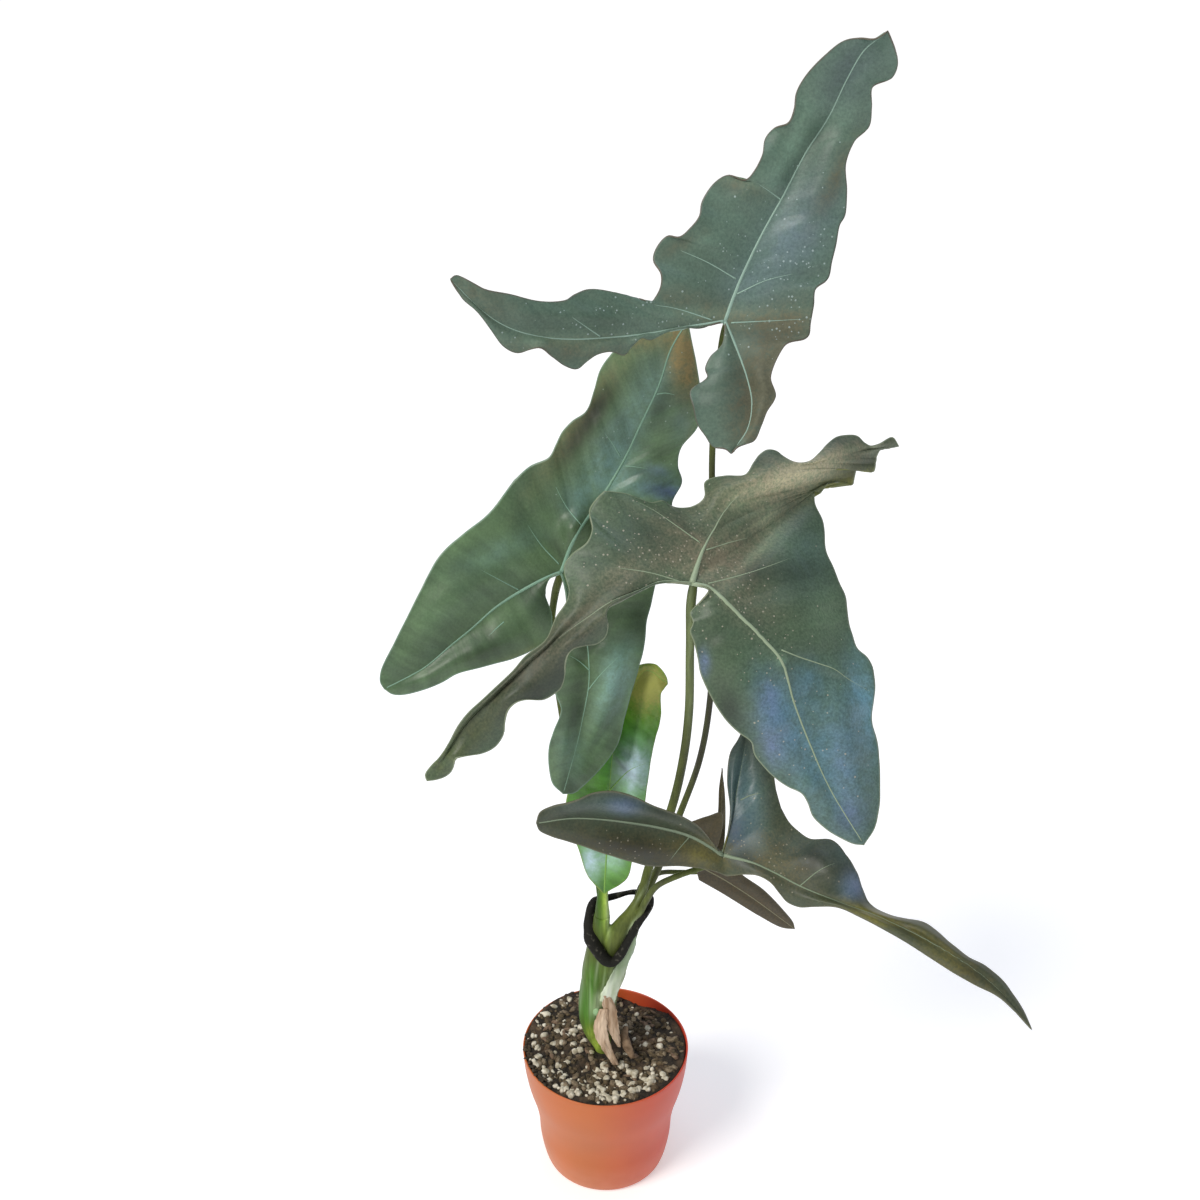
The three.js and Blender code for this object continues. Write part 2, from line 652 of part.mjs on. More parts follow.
add('pot', potGeometry(), '#cc6f52', 0.5);
add('soil', soilGeometry(), '#3f332a', 0.95);
add('stem', stemGeometry(), '#7fae4c', 0.5);
add('sheath_pale', sheathGeometry({ from: -75, to: 15, low: 131, high: 172 }), '#cfe0be', 0.6);
add('sheath_dry', sheathGeometry({ from: -80, to: 10, low: 96.5, high: 129 }), '#b8967a', 0.8);
add('tie', tieGeometry(), '#23211d', 0.8);
for (const letter of ['a', 'b', 'c', 'd', 'e', 'f']) {
  const blade = BLADES[`blade_${letter}`];
  const stalk = STALKS[`petiole_${letter}`];
  add(`petiole_${letter}`, stalkGeometry(stalk, blade), stalk.colour, 0.5);
  add(`blade_${letter}`, thickened(bladeSheet(blade), BLADE_THICKNESS), blade.colour, 0.45);
}

export default part;
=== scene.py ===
# A young aroid house plant with six wavy three-lobed leaves, in a plastic nursery pot.

# %% [markdown]
# The construction model of this plant is already packed: its pot, stem, stalks and leaves are plain
# faceted solids at their real size. Loading them first gives a fixed frame, in metres, that every
# finished piece is fitted to. Nothing in that frame is moved here: it is only dressed or stood in for.

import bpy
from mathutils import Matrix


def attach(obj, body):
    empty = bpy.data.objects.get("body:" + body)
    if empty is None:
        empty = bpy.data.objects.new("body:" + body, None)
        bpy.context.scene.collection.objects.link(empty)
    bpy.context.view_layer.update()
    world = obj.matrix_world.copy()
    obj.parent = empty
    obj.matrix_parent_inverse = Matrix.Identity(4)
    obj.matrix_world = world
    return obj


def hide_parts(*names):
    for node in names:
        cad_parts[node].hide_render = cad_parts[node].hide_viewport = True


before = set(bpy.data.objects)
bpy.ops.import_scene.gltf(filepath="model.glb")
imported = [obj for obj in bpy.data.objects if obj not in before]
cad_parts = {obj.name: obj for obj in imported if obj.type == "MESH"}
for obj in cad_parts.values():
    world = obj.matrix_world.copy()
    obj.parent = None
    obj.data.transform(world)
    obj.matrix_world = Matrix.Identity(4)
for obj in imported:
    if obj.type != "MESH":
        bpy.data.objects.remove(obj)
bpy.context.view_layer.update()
print("nodes in the frame:", len(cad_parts))

# %% [markdown]
# A plant is all soft uneven shapes. They are made here with bmesh operators, which work on corners and
# faces directly, and with Blender's noise, so that no two spots are alike. Sizes are written in
# millimetres, as a ruler gives them, and one factor turns them to metres, the unit of the frame.

# %% Libraries and the unit
import math
import random

import bmesh
import bpy
from mathutils import Matrix, Vector, noise
from mathutils.bvhtree import BVHTree

MM = 0.001
print("one metre is", round(1 / MM), "mm")

# %% [markdown]
# The leaves are placed by looking at one photograph. A pixel only says in which direction a point
# lies, so each leaf point also names its depth, the y coordinate in millimetres. The same numbers
# describe the camera, so a point that is placed this way lands on its own pixel in the render.

# %% Where a pixel of the photograph lies in space
EYE = Vector((-4, -775, 835)) * MM
VIEW_PITCH = math.radians(25.9)
VIEW_FOCAL = 1400
VIEW_CENTRE = 600
VIEW_WIDTH = 1200


def from_photo(column, row, depth):
    across = (column - VIEW_CENTRE) / VIEW_FOCAL
    down = (row - VIEW_CENTRE) / VIEW_FOCAL
    forward = math.cos(VIEW_PITCH)
    fall = math.sin(VIEW_PITCH)
    reach = (depth * MM - EYE.y) / (forward - fall * down)
    return Vector((EYE.x + reach * across, depth * MM, EYE.z - reach * (fall + forward * down)))


def to_photo(place):
    """The column and the row of the pixel at which a point in space shows."""
    away = place - EYE
    forward = away.y * math.cos(VIEW_PITCH) - away.z * math.sin(VIEW_PITCH)
    fall = -away.y * math.sin(VIEW_PITCH) - away.z * math.cos(VIEW_PITCH)
    return VIEW_CENTRE + VIEW_FOCAL * away.x / forward, VIEW_CENTRE + VIEW_FOCAL * fall / forward


print("the picture's middle at y = 0:", from_photo(VIEW_CENTRE, VIEW_CENTRE, 0))

# %% [markdown]
# Leaves and stalks have no straight lines. A centripetal Catmull-Rom curve runs through every point
# that it is given without loops or overshoot, which is why it is used for all outlines and routes.
# It is sampled at even distances, so that mesh rows are evenly spread however the points lie.

# %% A smooth curve through a few points
CURVE_STEPS = 16


def smooth_curve(points, closed=False):
    points = [Vector(point) for point in points]
    count = len(points)
    if closed:
        ring = [points[-1]] + points + points[:2]
    else:
        ring = [2 * points[0] - points[1]] + points + [2 * points[-1] - points[-2]]
    places = []
    for i in range(count if closed else count - 1):
        p0, p1, p2, p3 = ring[i:i + 4]
        t1 = max((p1 - p0).length, 1e-6) ** 0.5
        t2 = t1 + max((p2 - p1).length, 1e-6) ** 0.5
        t3 = t2 + max((p3 - p2).length, 1e-6) ** 0.5
        for step in range(CURVE_STEPS):
            t = t1 + (t2 - t1) * step / CURVE_STEPS
            a1 = p0.lerp(p1, t / t1)
            a2 = p1.lerp(p2, (t - t1) / (t2 - t1))
            a3 = p2.lerp(p3, (t - t2) / (t3 - t2))
            b1 = a1.lerp(a2, t / t2)
            b2 = a2.lerp(a3, (t - t1) / (t3 - t1))
            places.append(b1.lerp(b2, (t - t1) / (t2 - t1)))
    places.append(points[0] if closed else points[-1])
    return places


def distances(places):
    """How far along its line each place lies."""
    travelled = [0.0]
    for near, far in zip(places, places[1:]):
        travelled.append(travelled[-1] + (far - near).length)
    return travelled


def evenly_spaced(places, count):
    travelled = distances(places)
    spread = []
    span = 0
    for i in range(count + 1):
        wanted = travelled[-1] * i / count
        while span < len(places) - 2 and travelled[span + 1] < wanted:
            span += 1
        length = max(travelled[span + 1] - travelled[span], 1e-9)
        spread.append(places[span].lerp(places[span + 1], (wanted - travelled[span]) / length))
    return spread


def clamp(value, low=0.0, high=1.0):
    return max(low, min(high, value))


def smoothstep(value, low, high):
    share = clamp((value - low) / (high - low))
    return share * share * (3 - 2 * share)


print("a curve through 3 points has", len(smooth_curve([(0, 0, 0), (1, 1, 0), (2, 0, 0)])), "places")

# %% [markdown]
# Materials are node trees. Each colour is written as the hex value that an eye or a colour picker
# sees, and one function turns it into the linear numbers that the renderer adds up. Each pattern has
# a real size in mm, and another function turns that into the scale that a texture wants. One more
# function adds a node with its settings and its inputs, which keeps each material readable.

# %% Colours and nodes
def linear(hex_colour):
    channels = [int(hex_colour[i:i + 2], 16) / 255 for i in (1, 3, 5)]
    return (*[c / 12.92 if c <= 0.04045 else ((c + 0.055) / 1.055) ** 2.4 for c in channels], 1.0)


def repeats(size):
    """How often a pattern of so many mm fits into one metre."""
    return 1 / (size * MM)


def add_node(tree, kind, settings, inputs):
    made = tree.nodes.new(kind)
    for name, value in settings.items():
        setattr(made, name, value)
    for name, value in inputs.items():
        if isinstance(value, bpy.types.NodeSocket):
            tree.links.new(value, made.inputs[name])
        else:
            made.inputs[name].default_value = value
    return made


def new_material(name):
    material = bpy.data.materials.new(name)
    material.use_nodes = True
    material.node_tree.nodes.clear()
    return material, material.node_tree


print("mid grey #808080 is", round(linear("#808080")[0], 3), "in linear light")

# %% [markdown]
# All the finishes of this plant are built from the same few steps. Two colours are mottled by a noise
# as large as the real spots. A tint lies in patches with a ragged edge. A colour gets lighter and
# darker, in patches or finely. A low bump under a soft gloss ends the finish. Each material could
# write out all its nodes, but a function for each step shows better what is the piece's own.

# %% The steps that the finishes share
def mottled(tree, vector, size, detail, limits, under, over, most=1.0, coarseness=0.5):
    """Lays one colour over another where a noise is high. Gives the new colour and the noise."""
    clouds = add_node(tree, "ShaderNodeTexNoise", {},
                      {"Vector": vector, "Scale": repeats(size), "Detail": detail, "Roughness": coarseness})
    share = add_node(tree, "ShaderNodeMapRange", {},
                     {"Value": clouds.outputs["Fac"], "From Min": limits[0], "From Max": limits[1],
                      "To Max": most})
    mixed = add_node(tree, "ShaderNodeMix", {"data_type": "RGBA"}, {0: share.outputs[0], 6: under, 7: over})
    return mixed.outputs[2], clouds.outputs["Fac"]


def patched(tree, amount, ragged, under, over):
    """Lays one colour over another in ragged patches. Gives the new colour and its share."""
    share = add_node(tree, "ShaderNodeMath", {"operation": "MULTIPLY", "use_clamp": True},
                     {0: amount, 1: ragged})
    mixed = add_node(tree, "ShaderNodeMix", {"data_type": "RGBA"}, {0: share.outputs[0], 6: under, 7: over})
    return mixed.outputs[2], share.outputs[0]


def lightened(tree, colour, light):
    """Makes a colour lighter where a kept value is above nought, and darker where it is below."""
    brightened = add_node(tree, "ShaderNodeMath", {"operation": "ADD"}, {0: light, 1: 1})
    lit = add_node(tree, "ShaderNodeVectorMath", {"operation": "SCALE"},
                   {0: colour, "Scale": brightened.outputs[0]})
    return lit.outputs[0]


def varied(tree, colour, pattern, depth):
    """Makes a colour lighter and darker by up to a depth, as a noise goes up and down."""
    factor = add_node(tree, "ShaderNodeMapRange", {},
                      {"Value": pattern, "From Min": 0.3, "From Max": 0.7, "To Min": 1 - depth,
                       "To Max": 1 + depth})
    changed = add_node(tree, "ShaderNodeVectorMath", {"operation": "SCALE"},
                       {0: colour, "Scale": factor.outputs[0]})
    return changed.outputs[0]


def finish_surface(material, colour, roughness, height, strength, depth, extras):
    """Ends a finish with a bump so many mm deep, the shader and the output."""
    tree = material.node_tree
    bump = add_node(tree, "ShaderNodeBump", {},
                    {"Height": height, "Strength": strength, "Distance": depth * MM})
    shader = add_node(tree, "ShaderNodeBsdfPrincipled", {},
                      {"Base Color": colour, "Roughness": roughness, "Normal": bump.outputs[0], **extras})
    add_node(tree, "ShaderNodeOutputMaterial", {}, {"Surface": shader.outputs[0]})
    return material


print("a mottle of 5 mm has the scale", round(repeats(5)))

# %% [markdown]
# Every piece is made in a bmesh and handed over by the same few lines: it becomes one object at the
# origin, gets its materials and rides on the plant's only body. A piece that stands in for a solid of
# the frame hides that solid.

# %% Turn a bmesh into a finished piece
def mesh_from(name, bm):
    mesh = bpy.data.meshes.new(name)
    bm.to_mesh(mesh)
    bm.free()
    return mesh


def place_object(name, data):
    made = bpy.data.objects.new(name, data)
    bpy.context.scene.collection.objects.link(made)
    return made


def make_piece(name, bm, materials, stands_for=()):
    mesh = mesh_from(name, bm)
    for face in mesh.polygons:
        face.use_smooth = True
    for material in materials:
        mesh.materials.append(material)
    piece = place_object(name, mesh)
    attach(piece, "root")
    if stands_for:
        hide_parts(*stands_for)
    print(name, "has", len(mesh.polygons), "faces")
    return piece


def apply_modifiers(piece):
    bpy.context.view_layer.update()
    finished = piece.evaluated_get(bpy.context.evaluated_depsgraph_get())
    mesh = bpy.data.meshes.new_from_object(finished)
    piece.modifiers.clear()
    piece.data = mesh


# %% [markdown]
# The photograph looks down at about 26 degrees from chest height. Its whole background is floor, so
# one large pale floor fills the picture. The light is that of a bright cloudy day: one wide soft sun
# from the upper left, a weak round lamp overhead for the bluish sky, and a pale world that keeps the
# shadows open. A few small lamps would be brighter, but they would draw shadows with hard edges.

# %% Camera, floor and light
SENSOR = 36
LENS = SENSOR * VIEW_FOCAL / VIEW_WIDTH
FLOOR_HALF = 60
FLOOR_DROP = 0.5
PLANT_MIDDLE = Vector((0.03, 0.0, 0.4))
SUN_DIRECTION = Vector((0.62, 0.50, -0.80))
SUN_ANGLE = 26
SKY_LAMP_PLACE = Vector((0.2, 0.3, 2.2))
SKY_LAMP_SIZE = 1.4


def make_camera():
    camera = place_object("camera", bpy.data.cameras.new("camera"))
    camera.data.lens = LENS
    camera.data.sensor_width = SENSOR
    camera.location = EYE
    camera.rotation_euler = (math.radians(90) - VIEW_PITCH, 0, 0)
    bpy.context.scene.camera = camera


def make_floor():
    bm = bmesh.new()
    bmesh.ops.create_grid(bm, x_segments=1, y_segments=1, size=FLOOR_HALF)
    floor = place_object("floor", mesh_from("floor", bm))
    floor.location.z = -FLOOR_DROP * MM
    material, tree = new_material("matt white paper floor")
    # The paper glows faintly of itself, so it stays white and the shadows on it stay pale.
    shader = add_node(tree, "ShaderNodeBsdfPrincipled", {},
                      {"Base Color": linear("#e8e8e8"), "Roughness": 0.9, "Specular IOR Level": 0.0,
                       "Emission Color": linear("#ffffff"), "Emission Strength": 0.40})
    add_node(tree, "ShaderNodeOutputMaterial", {}, {"Surface": shader.outputs[0]})
    floor.data.materials.append(material)


def add_light(name, kind, settings, direction, power, colour):
    light = bpy.data.lights.new(name, kind)
    for setting, value in settings.items():
        setattr(light, setting, value)
    light.energy = power
    light.color = linear(colour)[:3]
    lamp = place_object(name, light)
    lamp.rotation_euler = direction.to_track_quat("-Z", "Y").to_euler()
    return lamp


def make_sky():
    world = bpy.data.worlds.new("pale sky")
    world.use_nodes = True
    world.node_tree.nodes["Background"].inputs["Color"].default_value = linear("#f4f7ff")
    world.node_tree.nodes["Background"].inputs["Strength"].default_value = 0.32
    bpy.context.scene.world = world


make_camera()
make_floor()
make_sky()
add_light("bright cloud", "SUN", {"angle": math.radians(SUN_ANGLE)}, SUN_DIRECTION, 2.35, "#fffaf4")
overhead = add_light("open sky", "AREA", {"shape": "DISK", "size": SKY_LAMP_SIZE},
                     PLANT_MIDDLE - SKY_LAMP_PLACE, 14, "#dbe7ff")
overhead.location = SKY_LAMP_PLACE
bpy.context.scene.view_settings.view_transform = "Standard"
print("the lens sees", round(2 * math.degrees(math.atan(SENSOR / 2 / LENS)), 1), "degrees")

# %% [markdown]
# A leaf of this plant has three lobes on one joint: a long front lobe and two side lobes that point
# back. Each lobe has a rib, and a waved margin on both sides of it. The outlines below are read
# in the photograph as [column, row] with the depth in mm, and are the frame's own. A dip says
# how far the middle of a margin lies behind its rib, and a swell how far a half bulges between them.
# A leaf could be cut from a flat sheet and bent, but its waves would then not meet the photograph's.

# %% The outlines of the leaves
BLADES = {
    "blade_a": {
        "joint": [725, 321, 5],
        "bays": {"left": [652, 302, 0], "right": [811, 322, 4]},
        "front": {
            "rib": [[739, 283, 12], [762, 234, 21], [782, 198, 27], [806, 152, 32], [828, 118, 33],
                [849, 75, 28], [865, 49, 21], [888, 31, 9]],
            "left": [[660, 288], [661, 274], [653, 260], [656, 248], [667, 236], [679, 237], [690, 228],
                [699, 216], [702, 201], [715, 182], [728, 175], [745, 180], [754, 171], [762, 155],
                [765, 139], [774, 128], [788, 123], [794, 109], [796, 93], [806, 75], [825, 55], [843, 41],
                [859, 38], [875, 39]],
            "right": [[814, 305], [816, 289], [828, 279], [832, 262], [836, 246], [840, 225], [845, 216],
                [847, 191], [846, 164], [855, 141], [869, 127], [872, 106], [873, 87], [892, 78], [898, 63],
                [895, 48]],
            "dips": [-4, -3],
            "swell": 3,
        },
        "left": {
            "rib": [[690, 326, 1], [650, 333, -3], [614, 337, -8], [574, 339, -14], [543, 337, -19],
                [510, 328, -24], [485, 313, -27], [450, 279, -30]],
            "outer": [[632, 297], [614, 292], [589, 289], [575, 294], [565, 300], [540, 301], [510, 294],
                [485, 289], [468, 280], [456, 275]],
            "inner": [[700, 328], [684, 328], [666, 332], [650, 340], [641, 338], [634, 344], [624, 355],
                [611, 352], [597, 355], [588, 361], [577, 369], [565, 366], [552, 357], [540, 348],
                [517, 353], [503, 346], [490, 329], [479, 314], [461, 297]],
            "dips": [-2, -2],
            "swell": 2,
        },
        "right": {
            "rib": [[733, 340, 0], [741, 360, -6], [748, 381, -12], [752, 403, -18], [748, 428, -24],
                [731, 454, -30]],
            "outer": [[808, 337], [788, 343], [782, 350], [771, 377], [776, 396], [767, 412], [762, 425],
                [754, 441], [738, 447]],
            "inner": [[722, 344], [710, 357], [705, 369], [707, 377], [690, 391], [693, 407], [697, 424],
                [705, 436], [713, 447], [725, 449]],
            "dips": [-4, -4],
            "swell": 3,
        },
    },
    "blade_b": {
        "joint": [692, 583, -40],
        "bays": {"left": [604, 491, -12], "right": [814, 491, 34]},
        "front": {
            "rib": [[702, 552, -26], [713, 531, -14], [734, 500, 4], [772, 478, 22], [804, 466, 38],
                [834, 458, 54], [870, 449, 76], [899, 446, 90]],
            "left": [[627, 494], [639, 499], [651, 503], [662, 501], [671, 506], [679, 508], [691, 507],
                [704, 498], [705, 482], [725, 476], [745, 475], [753, 463], [759, 455], [767, 450],
                [776, 451], [782, 456], [791, 461], [800, 463], [810, 461], [819, 453], [827, 444],
                [836, 437], [846, 435], [857, 436], [864, 442], [870, 446], [879, 444], [892, 437]],
            "right": [[820, 493], [828, 484], [838, 482], [846, 483], [852, 485], [858, 466], [866, 468],
                [873, 472], [879, 451], [890, 448]],
            "dips": [-10, 4],
            "swell": 4,
        },
        "left": {
            "rib": [[660, 582, -47], [640, 590, -53], [611, 602, -60], [586, 619, -64], [561, 637, -68],
                [530, 663, -73], [497, 694, -78], [466, 724, -82], [446, 755, -86], [427, 781, -90]],
            "outer": [[596, 499], [589, 511], [592, 528], [587, 542], [572, 554], [564, 567], [569, 595],
                [556, 618], [546, 640], [526, 656], [513, 671], [495, 688], [481, 701], [468, 713],
                [458, 726], [448, 744], [440, 756], [430, 767], [425, 775]],
            "inner": [[656, 584], [640, 591], [620, 602], [607, 609], [605, 617], [608, 625], [606, 636],
                [597, 644], [586, 646], [574, 649], [568, 655], [565, 666], [565, 676], [561, 688],
                [554, 694], [543, 700], [526, 700], [516, 703], [508, 711], [505, 723], [504, 734],
                [496, 746], [483, 753], [463, 757], [456, 759], [453, 769], [446, 776], [435, 780]],
            "dips": [-8, -5],
            "swell": 4,
        },
        "right": {
            "rib": [[710, 588, -44], [736, 612, -50], [762, 638, -56], [781, 660, -59], [794, 703, -64],
                [811, 747, -69], [829, 787, -74], [864, 845, -82]],
            "outer": [[815, 504], [822, 519], [824, 528], [825, 545], [827, 554], [833, 567], [839, 582],
                [845, 596], [848, 618], [852, 634], [857, 648], [867, 657], [872, 666], [874, 676],
                [875, 690], [873, 703], [872, 723], [877, 741], [879, 759], [880, 780], [879, 808],
                [874, 829]],
            "inner": [[709, 590], [702, 600], [690, 613], [693, 622], [690, 631], [694, 643], [698, 660],
                [700, 672], [707, 689], [715, 704], [726, 720], [739, 733], [751, 742], [754, 754],
                [763, 766], [774, 777], [788, 787], [802, 794], [808, 804], [812, 815], [825, 828],
                [841, 838], [854, 844]],
            "dips": [-6, -5],
            "swell": 4,
        },
    },
    "blade_c": {
        "joint": [561, 572, 10],
        "bays": {"left": [514, 480, 22], "right": [672, 545, 22]},
        "front": {
            "rib": [[575, 537, 19], [604, 494, 28], [625, 458, 32], [639, 428, 34], [659, 385, 33],
                [671, 349, 29], [688, 320, 22]],
            "left": [[530, 466], [549, 457], [556, 444], [562, 432], [572, 421], [586, 411], [594, 390],
                [600, 370], [611, 354], [622, 343], [640, 333], [668, 322]],
            "right": [[677, 520], [672, 504], [682, 482], [678, 465], [681, 448], [698, 426], [701, 400],
                [697, 366], [691, 336]],
            "dips": [-5, -4],
            "swell": 4,
        },
        "left": {
            "rib": [[546, 578, 6], [521, 591, 1], [496, 607, -5], [471, 629, -12], [450, 646, -18],
                [425, 667, -24], [384, 689, -32]],
            "outer": [[489, 513], [463, 534], [440, 555], [421, 589], [407, 617], [394, 643], [381, 670],
                [380, 682]],
            "inner": [[549, 579], [545, 592], [552, 616], [549, 638], [529, 652], [512, 659], [494, 664],
                [475, 669], [457, 674], [441, 683], [408, 694], [392, 694]],
            "dips": [-6, -5],
            "swell": 4,
        },
        "right": {
            "rib": [[572, 605, 8], [586, 640, 4], [589, 681, -1], [583, 716, -5], [577, 743, -8],
                [563, 794, -14]],
            "outer": [[656, 583], [651, 605], [647, 620], [644, 647], [638, 670], [632, 690], [625, 716],
                [617, 745], [601, 768], [585, 784], [574, 793]],
            "inner": [[566, 600], [562, 640], [556, 680], [556, 695], [561, 710], [554, 730], [549, 746],
                [549, 768], [553, 784]],
            "dips": [0, -3],
            "swell": 3,
        },
    },
    "blade_d": {
        "joint": [722, 855, -40],
        "bays": {"left": [781, 808, -22], "right": [727, 876, -46]},
        "front": {
            "rib": [[750, 862, -47], [775, 873, -54], [800, 886, -61], [835, 901, -70], [880, 918, -82],
                [930, 942, -95], [980, 974, -108], [1010, 1002, -115], [1032, 1030, -121]],
            "left": [[789, 822], [797, 830], [810, 839], [832, 840], [846, 855], [856, 871], [862, 888],
                [869, 903], [884, 913], [905, 919], [925, 923], [950, 943], [968, 957], [985, 966],
                [1001, 979], [1012, 993], [1023, 1010]],
            "right": [[755, 875], [770, 882], [787, 902], [800, 907], [814, 907], [837, 907], [860, 917],
                [886, 931], [905, 942], [930, 958], [952, 972], [975, 985], [1000, 998], [1012, 1009]],
            "dips": [4, -3],
            "swell": 3,
        },
        "left": {
            "rib": [[733, 815, -26], [737, 790, -15], [741, 770, -6], [745, 746, 6], [746, 722, 18]],
            "outer": [[776, 790], [771, 762], [757, 738]],
            "inner": [[726, 843], [730, 812], [727, 780], [730, 753], [738, 739]],
            "dips": [0, 0],
            "swell": 2,
        },
        "right": {
            "rib": [[704, 843, -43], [688, 835, -45], [658, 827, -49], [627, 822, -53], [601, 819, -56],
                [572, 818, -58], [536, 823, -61]],
            "outer": [[709, 870], [680, 866], [650, 866], [626, 860], [603, 853], [577, 844], [551, 836],
                [539, 830]],
            "inner": [[712, 842], [698, 826], [679, 815], [665, 810], [650, 804], [635, 797], [620, 792],
                [607, 791], [593, 793], [579, 799], [566, 803], [553, 806], [540, 812]],
            "dips": [-4, -5],
            "swell": 3,
        },
    },
    "blade_e": {
        "joint": [604, 894, -8],
        "front": {
            "rib": [[606, 860, -3], [608, 820, 3], [610, 780, 8], [614, 745, 11], [626, 705, 14],
                [646, 670, 15], [668, 684, 10]],
            "left": [[588, 876], [578, 848], [567, 820], [567, 796], [580, 765], [599, 730], [616, 695],
                [636, 667], [655, 664], [666, 676]],
            "right": [[627, 878], [634, 850], [643, 815], [648, 780], [653, 748], [661, 716], [661, 694],
                [664, 689]],
            "dips": [-9, -8],
            "swell": 2,
        },
    },
    "blade_f": {
        "joint": [705, 869, 2],
        "bays": {"left": [722, 858, 6], "right": [699, 880, 0]},
        "front": {
            "rib": [[725, 880, 4], [750, 896, 7], [775, 914, 10], [795, 929, 12]],
            "left": [[744, 876], [764, 890], [786, 913], [793, 922]],
            "right": [[722, 893], [758, 915], [781, 927]],
            "dips": [0, 0],
            "swell": 1,
        },
        "left": {
            "rib": [[715, 845, 10], [721, 812, 24], [722, 768, 40]],
            "outer": [[725, 835], [725, 795]],
            "inner": [[712, 850], [718, 812], [719, 788]],
            "dips": [0, 0],
            "swell": 0,
        },
        "right": {
            "rib": [[706, 850, 4], [702, 836, 8], [688, 824, 12]],
            "outer": [[694, 864], [686, 846], [685, 832]],
            "inner": [[716, 850], [722, 830], [721, 813], [708, 816], [696, 820]],
            "dips": [0, 0],
            "swell": 1,
        },
    },
}
print("leaves:", len(BLADES))

# %% [markdown]
# No leaf is evenly formed or coloured. Each line below is one soft oval patch, placed on the
# photograph as [column, row, half length, half width, turn in degrees] in pixels, and then how much of
# it there is. A relief patch lifts the skin towards the eye by so many mm, or sinks it. The others say
# where dust lies, where blue and purplish reflections of the sky are painted on the wax, where painted
# light and shade make the skin lighter and darker, where it is olive as on the underside, and where
# grit and dried drops gather.

# %% Where each leaf is uneven
RELIEF = {
    "blade_a": [[826, 180, 48, 14, -62, 3.5], [722, 262, 34, 20, 30, 2.5], [700, 355, 16, 26, 0, -2],
        [770, 150, 22, 10, -60, 2.5], [590, 318, 50, 10, 4, 2.5], [745, 196, 20, 10, -30, 2]],
    "blade_b": [[800, 468, 80, 10, -17, 7], [760, 545, 70, 9, -44, -5], [640, 545, 40, 22, 20, 3],
        [665, 520, 45, 8, 32, 3], [740, 690, 22, 50, -32, 4], [848, 730, 16, 60, -8, 4],
        [800, 600, 26, 40, -20, 4], [835, 680, 30, 8, 24, -3], [590, 622, 60, 8, -42, 3]],
    "blade_c": [[574, 530, 12, 18, 20, 11], [600, 640, 30, 5, -50, -1.5], [575, 655, 22, 5, 40, -1.5],
        [612, 720, 26, 5, -60, -1.5], [598, 740, 20, 5, -60, -1.2], [648, 500, 30, 18, 20, 4],
        [600, 430, 16, 36, 35, 3], [676, 415, 16, 30, 14, 3], [470, 590, 50, 16, -30, 3],
        [508, 645, 34, 12, -25, 1], [610, 690, 16, 40, 14, 4], [565, 740, 12, 30, 0, 3]],
    "blade_d": [[835, 868, 34, 20, 40, 5], [760, 805, 14, 40, -8, 3], [620, 808, 50, 9, 8, 3],
        [640, 848, 60, 9, 10, 3], [935, 935, 60, 6, 30, 3]],
    "blade_e": [[640, 760, 10, 50, 8, 3], [590, 800, 12, 50, -6, 3], [652, 690, 12, 14, 0, 3]],
    "blade_f": [],
}
